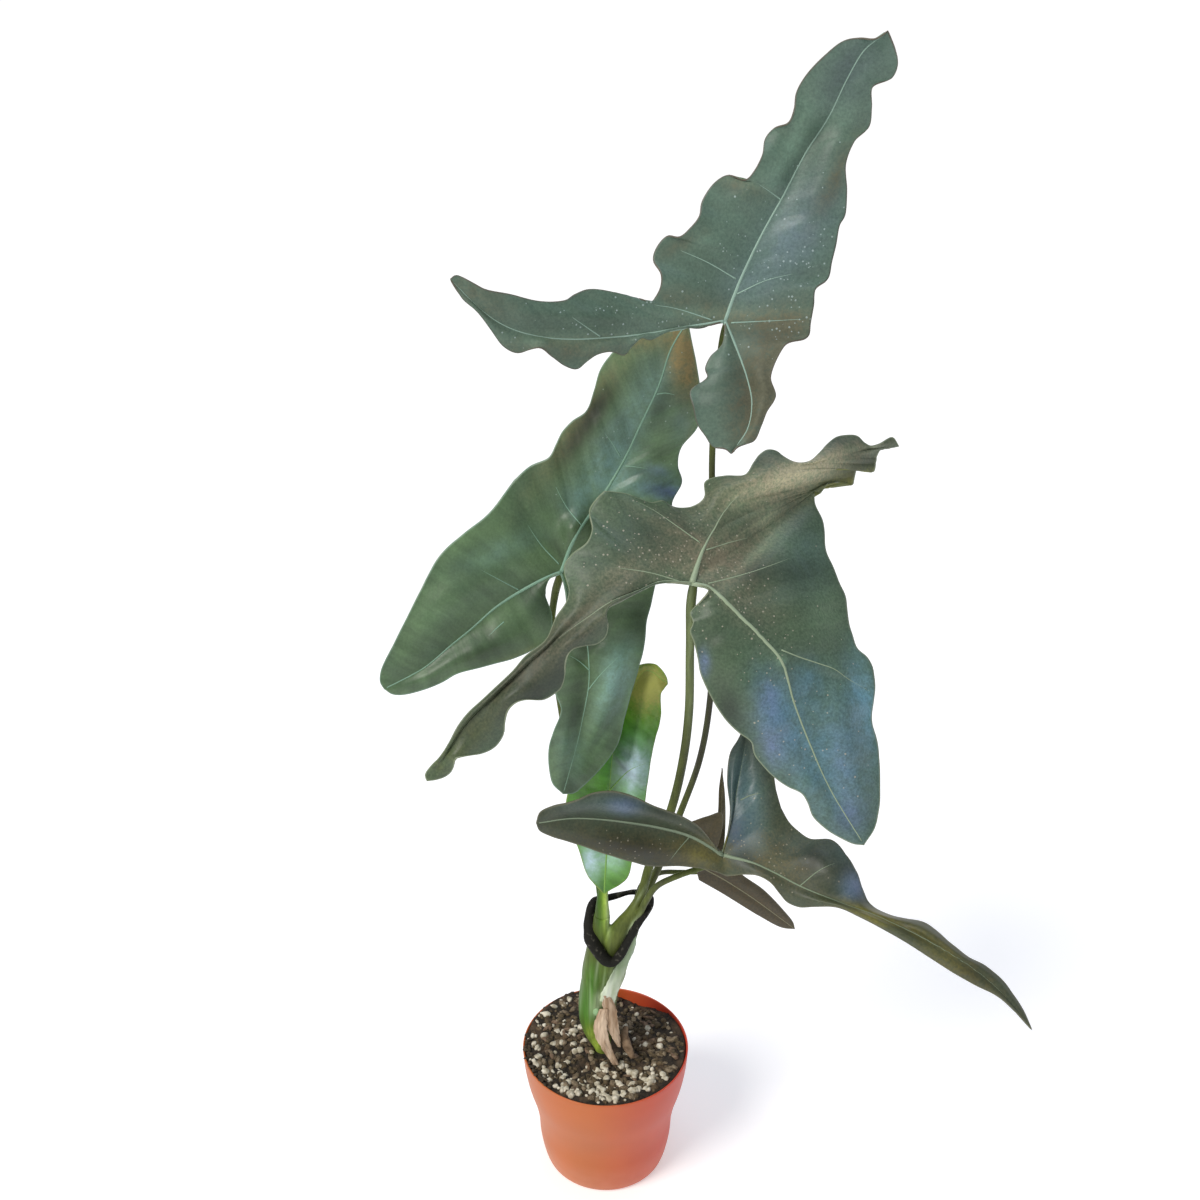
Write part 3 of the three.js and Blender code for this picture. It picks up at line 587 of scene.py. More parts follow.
# Painted light and shade: the light patches are painted highlights on ridges and folds and painted shadows
# in creases, along margins and under other leaves. The blue and purplish shine patches are a reflection of
# the sky painted into the colour, in places the skin's own bluish tone. Dust, olive and grit are the leaves'
# own colour.
TINTS = {
    "blade_a": {
        "dust": [[752, 322, 70, 14, 0, 0.45], [772, 368, 30, 56, 20, 1.3], [752, 420, 24, 34, 0, 0.6],
            [835, 178, 46, 10, -62, 0.6], [735, 184, 34, 9, 20, 0.5], [570, 350, 80, 14, 0, 0.5],
            [480, 295, 40, 16, 30, 0.5], [686, 300, 50, 12, 15, 0.4], [680, 246, 26, 8, -30, 0.4]],
        "painted_sheen": [[795, 235, 60, 30, -60, 0.75], [850, 70, 40, 24, -60, 0.35], [745, 285, 30, 22, 0, 0.3]],
        "light": [[690, 262, 34, 18, 20, -0.18], [640, 315, 60, 14, 0, -0.12], [850, 62, 44, 24, -60, -0.2],
            [722, 205, 44, 10, -40, -0.12], [700, 400, 16, 34, 0, -0.1], [520, 320, 60, 20, 20, -0.1],
            [835, 165, 34, 6, -62, 0.1], [748, 184, 24, 5, 12, 0.3], [700, 242, 16, 5, -20, 0.2],
            [792, 275, 24, 24, 0, -0.1], [760, 335, 30, 8, 0, -0.15], [738, 384, 32, 44, 10, -0.25],
            [790, 150, 10, 44, 30, 0.9], [830, 115, 26, 20, 0, 0.25], [812, 185, 10, 40, 25, -0.2],
            [720, 314, 70, 7, 0, 0.4], [555, 339, 50, 9, 0, 0.5]],
        "grit": [[792, 265, 36, 36, 0, 1.0], [727, 245, 14, 22, 0, 0.7], [640, 318, 120, 30, 0, 0.5],
            [790, 330, 50, 20, 0, 0.6], [770, 200, 60, 60, 0, 0.1]],
    },
    "blade_b": {
        "dust": [[706, 556, 50, 26, 0, 0.75], [795, 472, 90, 20, -20, 1.1], [655, 520, 50, 8, 25, 0.2],
            [560, 640, 110, 20, -42, 0.65], [745, 596, 44, 24, 40, 0.4], [770, 520, 60, 18, -40, 0.4],
            [612, 575, 30, 12, -20, 0.3]],
        "painted_sheen": [[805, 682, 16, 20, 0, 0.6], [775, 705, 16, 36, -20, 0.8], [835, 765, 44, 76, -10, 0.75],
            [790, 740, 30, 50, -30, 0.4], [862, 700, 14, 44, -8, 0.9], [805, 560, 30, 34, 0, 0.2]],
        "painted_violet_sheen": [[770, 700, 10, 20, -10, 0.55], [772, 746, 8, 16, -10, 0.5], [704, 662, 6, 12, 0, 0.7],
            [842, 762, 12, 34, -5, 0.3], [775, 735, 18, 30, -30, 0.3], [851, 815, 14, 18, 0, 0.5]],
        "light": [[790, 476, 56, 14, -22, 2.6], [768, 520, 18, 10, -45, 0.9], [735, 500, 44, 8, -30, 0.35],
            [718, 508, 16, 12, 0, -0.35], [720, 545, 18, 12, 0, 0.2], [856, 467, 16, 13, 0, -0.5],
            [785, 572, 50, 16, 0, -0.3], [822, 612, 20, 26, 0, 0.45], [725, 712, 16, 20, 0, -0.35],
            [838, 690, 20, 20, 0, 0.2], [545, 690, 44, 14, -40, -0.5], [470, 735, 30, 16, -45, -0.2],
            [696, 572, 36, 9, 0, 0.25], [805, 590, 34, 40, 0, -0.12], [645, 528, 44, 22, 10, -0.3],
            [618, 572, 26, 8, -20, 0.25], [742, 462, 24, 8, 0, -0.5], [840, 442, 24, 6, 0, -0.3],
            [530, 670, 120, 24, -42, -0.42], [790, 535, 24, 20, 0, 0.15], [866, 690, 12, 50, -10, 0.35],
            [730, 702, 12, 34, -25, -0.3], [800, 600, 50, 60, 0, -0.14], [640, 596, 18, 8, -20, -0.3],
            [750, 574, 18, 12, 0, -0.25], [850, 820, 20, 14, 0, -0.15], [758, 552, 50, 5, -44, 0.45],
            [781, 660, 5, 5, 0, 0.9], [870, 462, 14, 5, 20, -0.3], [838, 478, 22, 6, -10, -0.35],
            [720, 640, 22, 12, 60, -0.15], [812, 690, 24, 12, 30, -0.12], [590, 560, 24, 24, 0, -0.12]],
        "olive": [[852, 480, 36, 9, -20, 0.9], [460, 745, 60, 16, -45, 0.25]],
        "grit": [[745, 610, 60, 40, 40, 0.7], [770, 482, 60, 12, -22, 0.8], [680, 560, 60, 40, 0, 0.6],
            [800, 700, 60, 90, -20, 0.25], [640, 540, 50, 40, 0, 0.4]],
    },
    "blade_c": {
        "dust": [[684, 358, 14, 34, -8, 1.4], [650, 340, 30, 10, 0, 0.5], [582, 418, 12, 76, 35, 0.45],
            [655, 515, 30, 10, 10, 0.3], [530, 657, 30, 8, -20, 0.5], [692, 455, 8, 30, 0, 0.4]],
        "painted_sheen": [[655, 486, 40, 14, 10, 0.7], [608, 468, 20, 34, 30, 0.6], [576, 500, 14, 16, 0, 0.5],
            [640, 405, 18, 70, 32, 0.4], [612, 690, 14, 42, 18, 0.5], [616, 668, 16, 26, 14, 0.4],
            [570, 750, 14, 34, 0, 0.3], [685, 425, 14, 20, 0, 0.4], [500, 550, 40, 12, -20, 0.25]],
        "painted_violet_sheen": [[668, 492, 22, 7, 10, 0.7], [655, 470, 14, 6, 10, 0.3]],
        "light": [[645, 392, 16, 40, 30, 0.15], [640, 415, 44, 80, 28, 0.22], [598, 690, 50, 100, 8, -0.22],
            [446, 612, 24, 10, -35, 0.4], [490, 640, 22, 16, -20, -0.2], [432, 652, 8, 10, 0, 0.3],
            [570, 716, 12, 36, 12, -0.35], [604, 700, 11, 38, 18, 0.45], [640, 616, 14, 24, 0, -0.3],
            [676, 420, 12, 34, 25, -0.25], [602, 532, 9, 24, 0, -0.4], [592, 530, 3, 20, 0, -0.3],
            [556, 548, 14, 5, 55, -0.35], [600, 402, 13, 30, 35, -0.55], [572, 446, 13, 34, 38, -0.35],
            [660, 404, 9, 22, 25, -0.35], [560, 500, 30, 30, 0, -0.08], [450, 555, 44, 14, -60, 0.2],
            [520, 627, 40, 12, -20, -0.15], [600, 615, 40, 20, 0, -0.3], [618, 665, 10, 20, 10, 0.2],
            [590, 640, 20, 16, 0, -0.3], [597, 530, 6, 26, 8, -0.35], [640, 445, 30, 6, 10, -0.2],
            [655, 465, 26, 5, 8, 0.25], [500, 565, 44, 5, 12, 0.2], [480, 590, 44, 5, 12, -0.1],
            [470, 615, 40, 5, 12, 0.1], [645, 497, 20, 5, 10, 0.2], [572, 752, 15, 24, 8, 0.4],
            [602, 756, 14, 18, 0, 0.3], [632, 655, 8, 24, 10, 0.3], [540, 590, 20, 22, 0, -0.35],
            [668, 494, 14, 8, 10, -0.5], [587, 426, 14, 60, 38, -0.4], [656, 410, 12, 26, 25, -0.3],
            [570, 530, 15, 24, 15, -0.3], [465, 553, 34, 12, -35, -0.3], [490, 590, 34, 11, -30, 0.4],
            [480, 655, 36, 10, -12, -0.4], [638, 472, 18, 10, 10, -0.35], [630, 712, 12, 44, 8, 0.8],
            [606, 764, 12, 18, 0, 0.4], [568, 788, 8, 20, 0, -0.35], [590, 490, 12, 14, 20, 0.3],
            [672, 460, 8, 20, 0, 0.2]],
        "olive": [[560, 470, 30, 10, -40, 0.15]],
        "grit": [[640, 420, 60, 90, 30, 0.12]],
    },
    "blade_d": {
        "dust": [[650, 850, 80, 14, 8, 0.6], [780, 862, 40, 26, 30, 0.6], [700, 850, 30, 16, 0, 0.6],
            [960, 965, 60, 20, 40, 0.5]],
        "painted_sheen": [[850, 888, 14, 14, 0, 0.5], [742, 790, 20, 44, -8, 0.9], [746, 836, 16, 24, 0, 0.7],
            [622, 804, 26, 9, 6, 0.5], [580, 806, 30, 9, 0, 0.2], [850, 845, 14, 20, 40, 0.5],
            [800, 850, 30, 14, 20, 0.3]],
        "painted_violet_sheen": [[735, 835, 9, 18, 0, 0.5], [624, 806, 15, 8, 6, 0.6], [854, 886, 12, 16, 0, 0.7]],
        "light": [[762, 806, 10, 40, -8, 0.5], [724, 800, 9, 30, 0, -0.4], [714, 845, 20, 10, 0, 0.5],
            [745, 858, 12, 10, 0, -0.45], [780, 862, 26, 10, 25, 0.4], [812, 857, 14, 11, 0, -0.45],
            [850, 884, 10, 12, 0, 0.4], [625, 848, 50, 8, 8, -0.3], [662, 812, 16, 6, 10, -0.3],
            [905, 928, 24, 10, 32, -0.4], [975, 975, 20, 10, 35, -0.3], [615, 812, 16, 6, 0, 0.3],
            [850, 888, 16, 14, 0, 0.15], [600, 842, 70, 12, 8, -0.28], [580, 812, 36, 10, 0, -0.1],
            [690, 852, 44, 10, 20, 0.25], [660, 862, 30, 8, 12, -0.3], [600, 835, 60, 8, 8, -0.1],
            [830, 872, 26, 16, 30, -0.2], [700, 858, 30, 8, 0, 0.2], [955, 965, 60, 10, 36, -0.1],
            [718, 856, 14, 10, 0, 0.2], [770, 868, 30, 5, 26, 0.25], [790, 845, 22, 5, 34, 0.2],
            [640, 850, 60, 7, 8, -0.15]],
        "olive": [[700, 856, 26, 12, 25, 0.35], [876, 917, 40, 7, 20, 1.0], [945, 957, 50, 12, 38, 0.45],
            [610, 846, 44, 10, 10, 0.25]],
        "grit": [[660, 850, 60, 14, 0, 0.5], [780, 860, 50, 30, 30, 0.5], [745, 800, 16, 50, 0, 0.3]],
    },
    "blade_e": {
        "dust": [[648, 686, 22, 24, 0, 1.6]],
        "painted_sheen": [[634, 770, 16, 24, 8, 1.1], [590, 862, 9, 20, 0, 0.9], [612, 858, 12, 12, 0, 0.6]],
        "light": [[640, 768, 14, 26, 8, 0.35], [604, 852, 24, 22, 0, 0.25], [628, 722, 8, 20, 0, 0.7],
            [622, 765, 20, 2, 55, -0.35], [634, 775, 16, 2, 40, -0.3], [606, 885, 14, 9, 0, -0.25],
            [650, 728, 14, 12, 0, 0.2], [600, 775, 10, 20, 0, 0.3], [606, 760, 10, 24, 0, 0.5],
            [612, 780, 5, 40, 4, -0.3], [604, 862, 16, 12, 0, 0.25], [642, 690, 18, 22, 10, 0.4]],
    },
    "blade_f": {
        "dust": [[745, 895, 40, 20, 30, 0.3]],
        "light": [[680, 868, 14, 10, 0, -0.3], [760, 905, 40, 5, 32, 0.2]],
    },
}
BASE_DUST = {"blade_a": 0.12, "blade_b": 0.1, "blade_c": 0.0, "blade_d": 0.35, "blade_e": 0.0,
    "blade_f": 0.5}


def patch_sum(patches, column, row):
    total = 0.0
    for middle_column, middle_row, long_half, short_half, turn, amount in patches:
        angle = math.radians(turn)
        x = column - middle_column
        y = row - middle_row
        lengthwise = (x * math.cos(angle) + y * math.sin(angle)) / long_half
        sideways = (y * math.cos(angle) - x * math.sin(angle)) / short_half
        total += amount * math.exp(-(lengthwise * lengthwise + sideways * sideways))
    return total


print("relief at the first patch of blade_a:", round(patch_sum(RELIEF["blade_a"], 826, 180), 2), "mm")

# %% [markdown]
# A leaf skin could be drawn as one outline and filled, but then it has no rib and nothing to follow
# the margin's waves. Here each half of a lobe starts as a plain grid, whose long side is laid along
# the rib and whose far side is laid along the margin, so rows of faces run as the side veins do.
# Where the outline swings out, the skin also swings back: that is what a waved margin really is.
# Each corner keeps its distances along the rib, from the rib and from the rim, for the finish.

# %% Lay one half of a lobe
BLADE_THICKNESS = 0.9
FRONT_ROWS = 150
SIDE_ROWS = 110
COLUMNS = 34
SWELL_SHARPNESS = 1.7
RUFFLE = 1.1
RUFFLE_REACH = 0.07
RUFFLE_SHARPNESS = 1.6
# At the leaves, one pixel of the photograph is about so many mm.
MM_PER_PIXEL = 0.58
PATCH_LAYERS = ("dust", "painted_sheen", "painted_violet_sheen", "light", "olive", "grit")
LAYERS = ("along", "across", "rim", "half") + PATCH_LAYERS


def grid_corners(bm, rows, columns):
    """A plain grid, as a list of each corner with its row and its share of the way across."""
    corners = bmesh.ops.create_grid(bm, x_segments=rows, y_segments=columns, size=0.5)["verts"]
    return [(corner, round((corner.co.x + 0.5) * rows), clamp(corner.co.y + 0.5)) for corner in corners]


def rib_line(name, lobe, steps):
    return evenly_spaced(smooth_curve([BLADES[name]["joint"]] + lobe["rib"]), steps)


def swings(edge, rib):
    """How far each place of a margin lies outside its own smoothed course, in pixels."""
    reach = round(len(edge) * RUFFLE_REACH)
    found = []
    for i, place in enumerate(edge):
        near = edge[max(0, i - reach):i + reach + 1]
        room = min(i, len(edge) - 1 - i) / reach
        middle = sum(near, Vector((0, 0, 0))) / len(near)
        outward = (place - rib[i]).normalized()
        found.append((place - middle).dot(outward) * clamp(room))
    return found


def lay_half(bm, name, lobe, side, start, rows, turn, half):
    rib = rib_line(name, lobe, rows)
    flat_rib = [Vector((place.x, place.y, 0)) for place in rib]
    outline = [start[:2]] + lobe[side] + [lobe["rib"][-1][:2]]
    edge = evenly_spaced(smooth_curve([(*point, 0) for point in outline]), rows)
    swing = swings(edge, flat_rib)
    dip = lobe["dips"][0 if side in ("left", "outer") else 1]
    travelled = distances([from_photo(*place) for place in rib])
    layers = {layer: bm.verts.layers.float[layer] for layer in LAYERS}
    grid = grid_corners(bm, rows, COLUMNS)
    for corner, row, across in grid:
        along = row / rows
        arch = math.sin(math.pi * along)
        rim_depth = rib[row].z + (1 - along) * (start[2] - BLADES[name]["joint"][2]) + dip * arch
        place = flat_rib[row].lerp(edge[row], across)
        depth = rib[row].z + (rim_depth - rib[row].z) * across
        depth -= lobe["swell"] * arch * math.sin(math.pi * across) ** SWELL_SHARPNESS
        depth += RUFFLE * MM_PER_PIXEL * swing[row] * across ** RUFFLE_SHARPNESS
        depth -= patch_sum(RELIEF[name], place.x, place.y)
        corner.co = from_photo(place.x, place.y, depth)
        width = (edge[row] - flat_rib[row]).length * MM_PER_PIXEL
        corner[layers["along"]] = travelled[row] / MM
        corner[layers["across"]] = width * across
        corner[layers["rim"]] = width * (1 - across)
        corner[layers["half"]] = half
        # Painted light and shade and the painted reflection are kept here together with the real tints.
        for layer in PATCH_LAYERS:
            corner[layers[layer]] = patch_sum(TINTS[name].get(layer, []), place.x, place.y)
    if turn < 0:
        faces = {face for corner, row, across in grid for face in corner.link_faces}
        bmesh.ops.reverse_faces(bm, faces=list(faces))


print("a front lobe has", 2 * FRONT_ROWS * COLUMNS, "faces")

# %% [markdown]
# The six halves meet along the ribs and along the lines from the joint to the two bays. Their corners
# fall on each other there, so merging doubles sews them into one skin. The lines to the bays would
# still show as a crease, which a few rounds of smoothing near the joint take out. Between the side
# veins a real leaf is quilted, and old leaves are rippled along the veins as well. Both are real
# shape here: the skin is pushed out and in along its normals.

# %% Sew the halves into one leaf skin
SEAM = 0.02
SLIVER = 0.01
VEIN_SPACING = 24
VEIN_SWEEP = 0.3
QUILT = 0.7
RIPPLE_LENGTH = 9
RIPPLE_WIDTH = 40
RIPPLES = {"blade_a": 0.35, "blade_b": 0.5, "blade_c": 0.6, "blade_d": 0.5, "blade_e": 0.8, "blade_f": 0.3}
RIB_FADE = (0, 12)
JOINT_FADE = (4, 24)
RIM_FADE = (0, 6)
SMOOTH_REACH = 16
SMOOTH_GAP = 2
SMOOTH_ROUNDS = 10


def relax(bm, corners, rounds):
    for turn in range(rounds):
        bmesh.ops.smooth_vert(bm, verts=corners, factor=0.5, use_axis_x=True, use_axis_y=True,
                              use_axis_z=True)


def push_out(bm, pushes):
    for corner, push in zip(bm.verts, pushes):
        corner.co += push


def leaf_skin(name):
    blade = BLADES[name]
    bm = bmesh.new()
    for layer in LAYERS:
        bm.verts.layers.float.new(layer)
    bays = blade.get("bays", {"left": blade["joint"], "right": blade["joint"]})
    lay_half(bm, name, blade["front"], "left", bays["left"], FRONT_ROWS, 1, 0)
    lay_half(bm, name, blade["front"], "right", bays["right"], FRONT_ROWS, -1, 1)
    for lobe, turn in (("left", -1), ("right", 1)):
        if lobe in blade:
            lay_half(bm, name, blade[lobe], "outer", bays[lobe], SIDE_ROWS, turn, 0)
            lay_half(bm, name, blade[lobe], "inner", blade["joint"], SIDE_ROWS, -turn, 1)
    bmesh.ops.remove_doubles(bm, verts=bm.verts, dist=SEAM * MM)
    bmesh.ops.dissolve_degenerate(bm, edges=bm.edges, dist=SLIVER * MM)

    kept = {layer: bm.verts.layers.float[layer] for layer in LAYERS}
    near_joint = [corner for corner in bm.verts if corner[kept["along"]] < SMOOTH_REACH
                  and corner[kept["across"]] > SMOOTH_GAP and not corner.is_boundary]
    relax(bm, near_joint, SMOOTH_ROUNDS)
    bm.normal_update()
    pushes = []
    for corner in bm.verts:
        along, across, rim, half = [corner[kept[layer]] for layer in ("along", "across", "rim", "half")]
        swept = along - VEIN_SWEEP * across
        cell = abs(math.sin(math.pi * (swept / VEIN_SPACING + 0.5 * half)))
        # The noise is read at another place for the other half, so the two don't ripple alike.
        ripple = noise.noise(Vector((swept / RIPPLE_LENGTH, across / RIPPLE_WIDTH, 7 * half + 3)))
        fade = smoothstep(across, *RIB_FADE) * smoothstep(along, *JOINT_FADE)
        push = QUILT * (cell - 0.5) * smoothstep(rim, *RIM_FADE) + RIPPLES[name] * ripple
        pushes.append(corner.normal * (push * fade * MM))
    push_out(bm, pushes)
    return bm


trial = leaf_skin("blade_f")
print("the smallest leaf skin has", len(trial.faces), "faces")
trial.free()

# %% [markdown]
# The finish is a living leaf: a waxy skin with a soft gloss, not a hard one. Under the wax lies a
# green that varies in clouds. Old leaves gather grey-brown dust, grit and dried drops. Where the wax
# is clean a bluish reflection of the sky is painted into the colour, in places with the skin's own
# bluish tone, and a purplish one where the light grazes it, and lighter and darker patches are
# painted light and shade. Where a leaf turns over or ages it is olive. The young leaf is bright and
# wet-looking. The rim is a thin line. An image could be laid over each leaf, but values that were
# kept with the mesh bend with it and stay sharp close by.

# %% The streaks and the spots of a leaf
FINE_VEIN = 4.8
VEIN_WAVER = 14
SPOT_SPACING = 2.2
SPOT_SIZE = 0.29
SPOT_STRENGTH = 0.5


def leaf_streaks(tree, kept, cloud):
    """Fine streaks that run with the side veins: long across the half lobe and short along the rib."""
    swept = add_node(tree, "ShaderNodeMath", {"operation": "MULTIPLY_ADD"},
                     {0: kept["across"], 1: -VEIN_SWEEP, 2: kept["along"]})
    waver = add_node(tree, "ShaderNodeMath", {"operation": "MULTIPLY_ADD"},
                     {0: cloud, 1: VEIN_WAVER, 2: swept.outputs[0]})
    laid = add_node(tree, "ShaderNodeCombineXYZ", {},
                    {"X": waver.outputs[0], "Y": kept["across"], "Z": kept["half"]})
    squeezed = add_node(tree, "ShaderNodeMapping", {}, {"Vector": laid.outputs[0], "Scale": (1, 0.09, 9)})
    # The kept distances are in mm already, so this scale is one over the size of a fine vein in mm.
    streak = add_node(tree, "ShaderNodeTexNoise", {},
                      {"Vector": squeezed.outputs[0], "Scale": 1 / FINE_VEIN, "Detail": 3})
    return streak.outputs["Fac"]


def leaf_spots(tree, place, grit, under, over):
    """Dried drops and grit: a few cells of a Voronoi pattern get a small pale dot."""
    cells = add_node(tree, "ShaderNodeTexVoronoi", {},
                     {"Vector": place, "Scale": repeats(SPOT_SPACING), "Randomness": 1})
    chosen = add_node(tree, "ShaderNodeSeparateColor", {}, {0: cells.outputs["Color"]})
    dot_size = add_node(tree, "ShaderNodeMath", {"operation": "MULTIPLY"},
                        {0: chosen.outputs[1], 1: SPOT_SIZE})
    dot = add_node(tree, "ShaderNodeMath", {"operation": "LESS_THAN"},
                   {0: cells.outputs["Distance"], 1: dot_size.outputs[0]})
    rare = add_node(tree, "ShaderNodeMath", {"operation": "LESS_THAN"}, {0: chosen.outputs[0], 1: grit})
    spots = add_node(tree, "ShaderNodeMath", {"operation": "MULTIPLY"},
                     {0: dot.outputs[0], 1: rare.outputs[0]})
    return patched(tree, spots.outputs[0], SPOT_STRENGTH, under, over)[0]


print("drops and grit lie about", SPOT_SPACING, "mm apart")

# %% The living leaf finish
CLOUD_SIZE = 40
MOTTLE_SIZE = 6.25
# The grain of a real leaf's skin is finer than this. It is drawn so coarse that it shows at all.
GRAIN_SIZE = 1.5625
LEAF_IOR = 1.45
# The purplish colour of a painted reflection, where light grazes the wax.
VIOLET_SHEEN_COLOUR = "#667ba4"


def leaf_material(name, colours, roughness, base_dust, streakiness, graininess):
    material, tree = new_material(name)
    kept = {}
    for layer in LAYERS:
        kept[layer] = add_node(tree, "ShaderNodeAttribute", {"attribute_name": layer}, {}).outputs["Fac"]
    place = add_node(tree, "ShaderNodeTexCoord", {}, {}).outputs["Object"]
    green, cloud = mottled(tree, place, CLOUD_SIZE, 3, (0.35, 0.65), linear(colours["fresh"]),
                           linear(colours["deep"]))
    mottle = add_node(tree, "ShaderNodeTexNoise", {},
                      {"Vector": place, "Scale": repeats(MOTTLE_SIZE), "Detail": 5})
    grain = add_node(tree, "ShaderNodeTexNoise", {},
                     {"Vector": place, "Scale": repeats(GRAIN_SIZE), "Detail": 4, "Roughness": 0.6})
    streak = leaf_streaks(tree, kept, cloud)
    streaked = varied(tree, green, streak, streakiness)

    # Painted reflection: a blue shine of the sky is painted into the colour in soft patches with a ragged
    # edge, and a purplish one in a few.
    ragged = add_node(tree, "ShaderNodeMapRange", {},
                      {"Value": mottle.outputs["Fac"], "From Min": 0.35, "From Max": 0.65,
                       "To Min": 0.65, "To Max": 1.15})
    blue, painted_sheen_share = patched(tree, kept["painted_sheen"], ragged.outputs[0], streaked, linear(colours["painted_sheen"]))
    painted_violet_sheen = patched(tree, kept["painted_violet_sheen"], ragged.outputs[0], blue, linear(VIOLET_SHEEN_COLOUR))[0]

    # Dust lies in patches, and is thickest in the hollows of the grain. Olive skin lies over all.
    speckled = add_node(tree, "ShaderNodeMapRange", {},
                        {"Value": grain.outputs["Fac"], "From Min": 0.35, "From Max": 0.65,
                         "To Min": 0.75, "To Max": 1.15})
    fallen = add_node(tree, "ShaderNodeMath", {"operation": "ADD"}, {0: kept["dust"], 1: base_dust})
    patchy = add_node(tree, "ShaderNodeMath", {"operation": "MULTIPLY"},
                      {0: fallen.outputs[0], 1: ragged.outputs[0]})
    dusty, dusting = patched(tree, patchy.outputs[0], speckled.outputs[0], painted_violet_sheen, linear(colours["dust"]))
    olive = patched(tree, kept["olive"], ragged.outputs[0], dusty, linear(colours["under"]))[0]

    # Painted light and shade come next, as lighter and darker patches, then the grain, the spots and the
    # thin rim.
    grained = varied(tree, lightened(tree, olive, kept["light"]), grain.outputs["Fac"], graininess)
    spotted = leaf_spots(tree, place, kept["grit"], grained, linear(colours["spot"]))
    brink = add_node(tree, "ShaderNodeMapRange", {"interpolation_type": "SMOOTHSTEP"},
                     {"Value": kept["rim"], "From Min": 0.2, "From Max": 1.1, "To Min": 0.6, "To Max": 0})
    rimmed = add_node(tree, "ShaderNodeMix", {"data_type": "RGBA"},
                      {0: brink.outputs[0], 6: spotted, 7: linear(colours["rim"])})

    # Dust dulls the gloss, and the gloss is a little sharper where the blue shine is painted. Mottle,
    # streaks and grain raise the skin.
    dulled = add_node(tree, "ShaderNodeMapRange", {},
                      {"Value": dusting, "To Min": roughness, "To Max": roughness + 0.25})
    waxed = add_node(tree, "ShaderNodeMath", {"operation": "MULTIPLY_ADD"},
                     {0: painted_sheen_share, 1: -0.08, 2: dulled.outputs[0]})
    height = add_node(tree, "ShaderNodeMath", {"operation": "ADD"}, {0: mottle.outputs["Fac"], 1: streak})
    raised = add_node(tree, "ShaderNodeMath", {"operation": "MULTIPLY_ADD"},
                      {0: grain.outputs["Fac"], 1: 0.3, 2: height.outputs[0]})
    return finish_surface(material, rimmed.outputs[2], waxed.outputs[0], raised.outputs[0], 0.5, 0.45,
                          {"IOR": LEAF_IOR})


def plain_leaf_material(name, colour, other, roughness):
    """The underside, the rim or the rib of a leaf: dull living skin, softly mottled in two colours."""
    material, tree = new_material(name)
    place = add_node(tree, "ShaderNodeTexCoord", {}, {}).outputs["Object"]
    mixed, mottle = mottled(tree, place, 11.11, 5, (0.3, 0.7), linear(colour), linear(other), most=0.6)
    return finish_surface(material, mixed, roughness, mottle, 0.4, 0.3, {"IOR": LEAF_IOR})


print("values that a leaf keeps for its finish:", ", ".join(LAYERS))

# %% The colours of each leaf
# Each leaf's shine colour is a painted reflection of the sky, in places also the skin's own bluish tone.
LEAF_COLOURS = {
    "blade_a": {"fresh": "#5a7566", "deep": "#4c6556", "painted_sheen": "#687f88", "dust": "#5f604c",
                "vein": "#8fab9c", "rim": "#5c5348", "under": "#66784c", "spot": "#b4c6c4"},
    "blade_b": {"fresh": "#4a6248", "deep": "#3f5640", "painted_sheen": "#557e8c", "dust": "#726e59",
                "vein": "#93a386", "rim": "#96a083", "under": "#7a7c3a", "spot": "#c0b7a4"},
    "blade_c": {"fresh": "#617c56", "deep": "#4b6248", "painted_sheen": "#749792", "dust": "#84764e",
                "vein": "#7fa48d", "rim": "#7e9c88", "under": "#65804a", "spot": "#a9bcb0"},
    "blade_d": {"fresh": "#3f4f3d", "deep": "#354233", "painted_sheen": "#4f7480", "dust": "#4c4a34",
                "vein": "#7f8f76", "rim": "#6a6a52", "under": "#6d6822", "spot": "#a39c88"},
    "blade_e": {"fresh": "#5c9430", "deep": "#4a8426", "painted_sheen": "#a6bfc8", "dust": "#8f9148",
                "vein": "#7cab4a", "rim": "#79963c", "under": "#79a83c", "spot": "#c8e0b0"},
    "blade_f": {"fresh": "#4c4834", "deep": "#3e3a2a", "painted_sheen": "#5f6f8c", "dust": "#504631",
                "vein": "#8a8768", "rim": "#5c563e", "under": "#6f6a40", "spot": "#8c8468"},
}
LEAF_ROUGHNESS = {"blade_a": 0.47, "blade_b": 0.42, "blade_c": 0.42, "blade_d": 0.38, "blade_e": 0.22,
                  "blade_f": 0.42}
STREAKINESS = {"blade_a": 0.07, "blade_b": 0.08, "blade_c": 0.15, "blade_d": 0.10, "blade_e": 0.20,
               "blade_f": 0.10}
GRAININESS = {"blade_a": 0.20, "blade_b": 0.26, "blade_c": 0.12, "blade_d": 0.24, "blade_e": 0.05,
              "blade_f": 0.24}
print("leaf finishes:", len(LEAF_COLOURS))

# %% [markdown]
# A rib is a soft rounded cord in the leaf. It stands out a little above the skin and more below it,
# is thickest at the joint and thins towards the tip. The side veins that show are thinner cords. Both
# are tubes: a grid laid round a path, with its seam merged and its ends closed. The ribs follow the
# line where the halves of the skin meet. A side vein is drawn over the photograph, and each of its
# points is dropped on to the skin along the line of sight. The stalks and the tie use the same tube.
# The middle of every cord lies a little inside the face that carries it, so that none hangs free.

# %% Lay a tube round a path
MERGE = 0.001


def close_tube(bm, ring=False):
    """Merges the seam of a tube and fills its ends. The two ends of a ring merge with each other."""
    bmesh.ops.remove_doubles(bm, verts=bm.verts, dist=MERGE * MM)
    if not ring:
        open_edges = [edge for edge in bm.edges if edge.is_boundary]
        bmesh.ops.holes_fill(bm, edges=open_edges, sides=0)


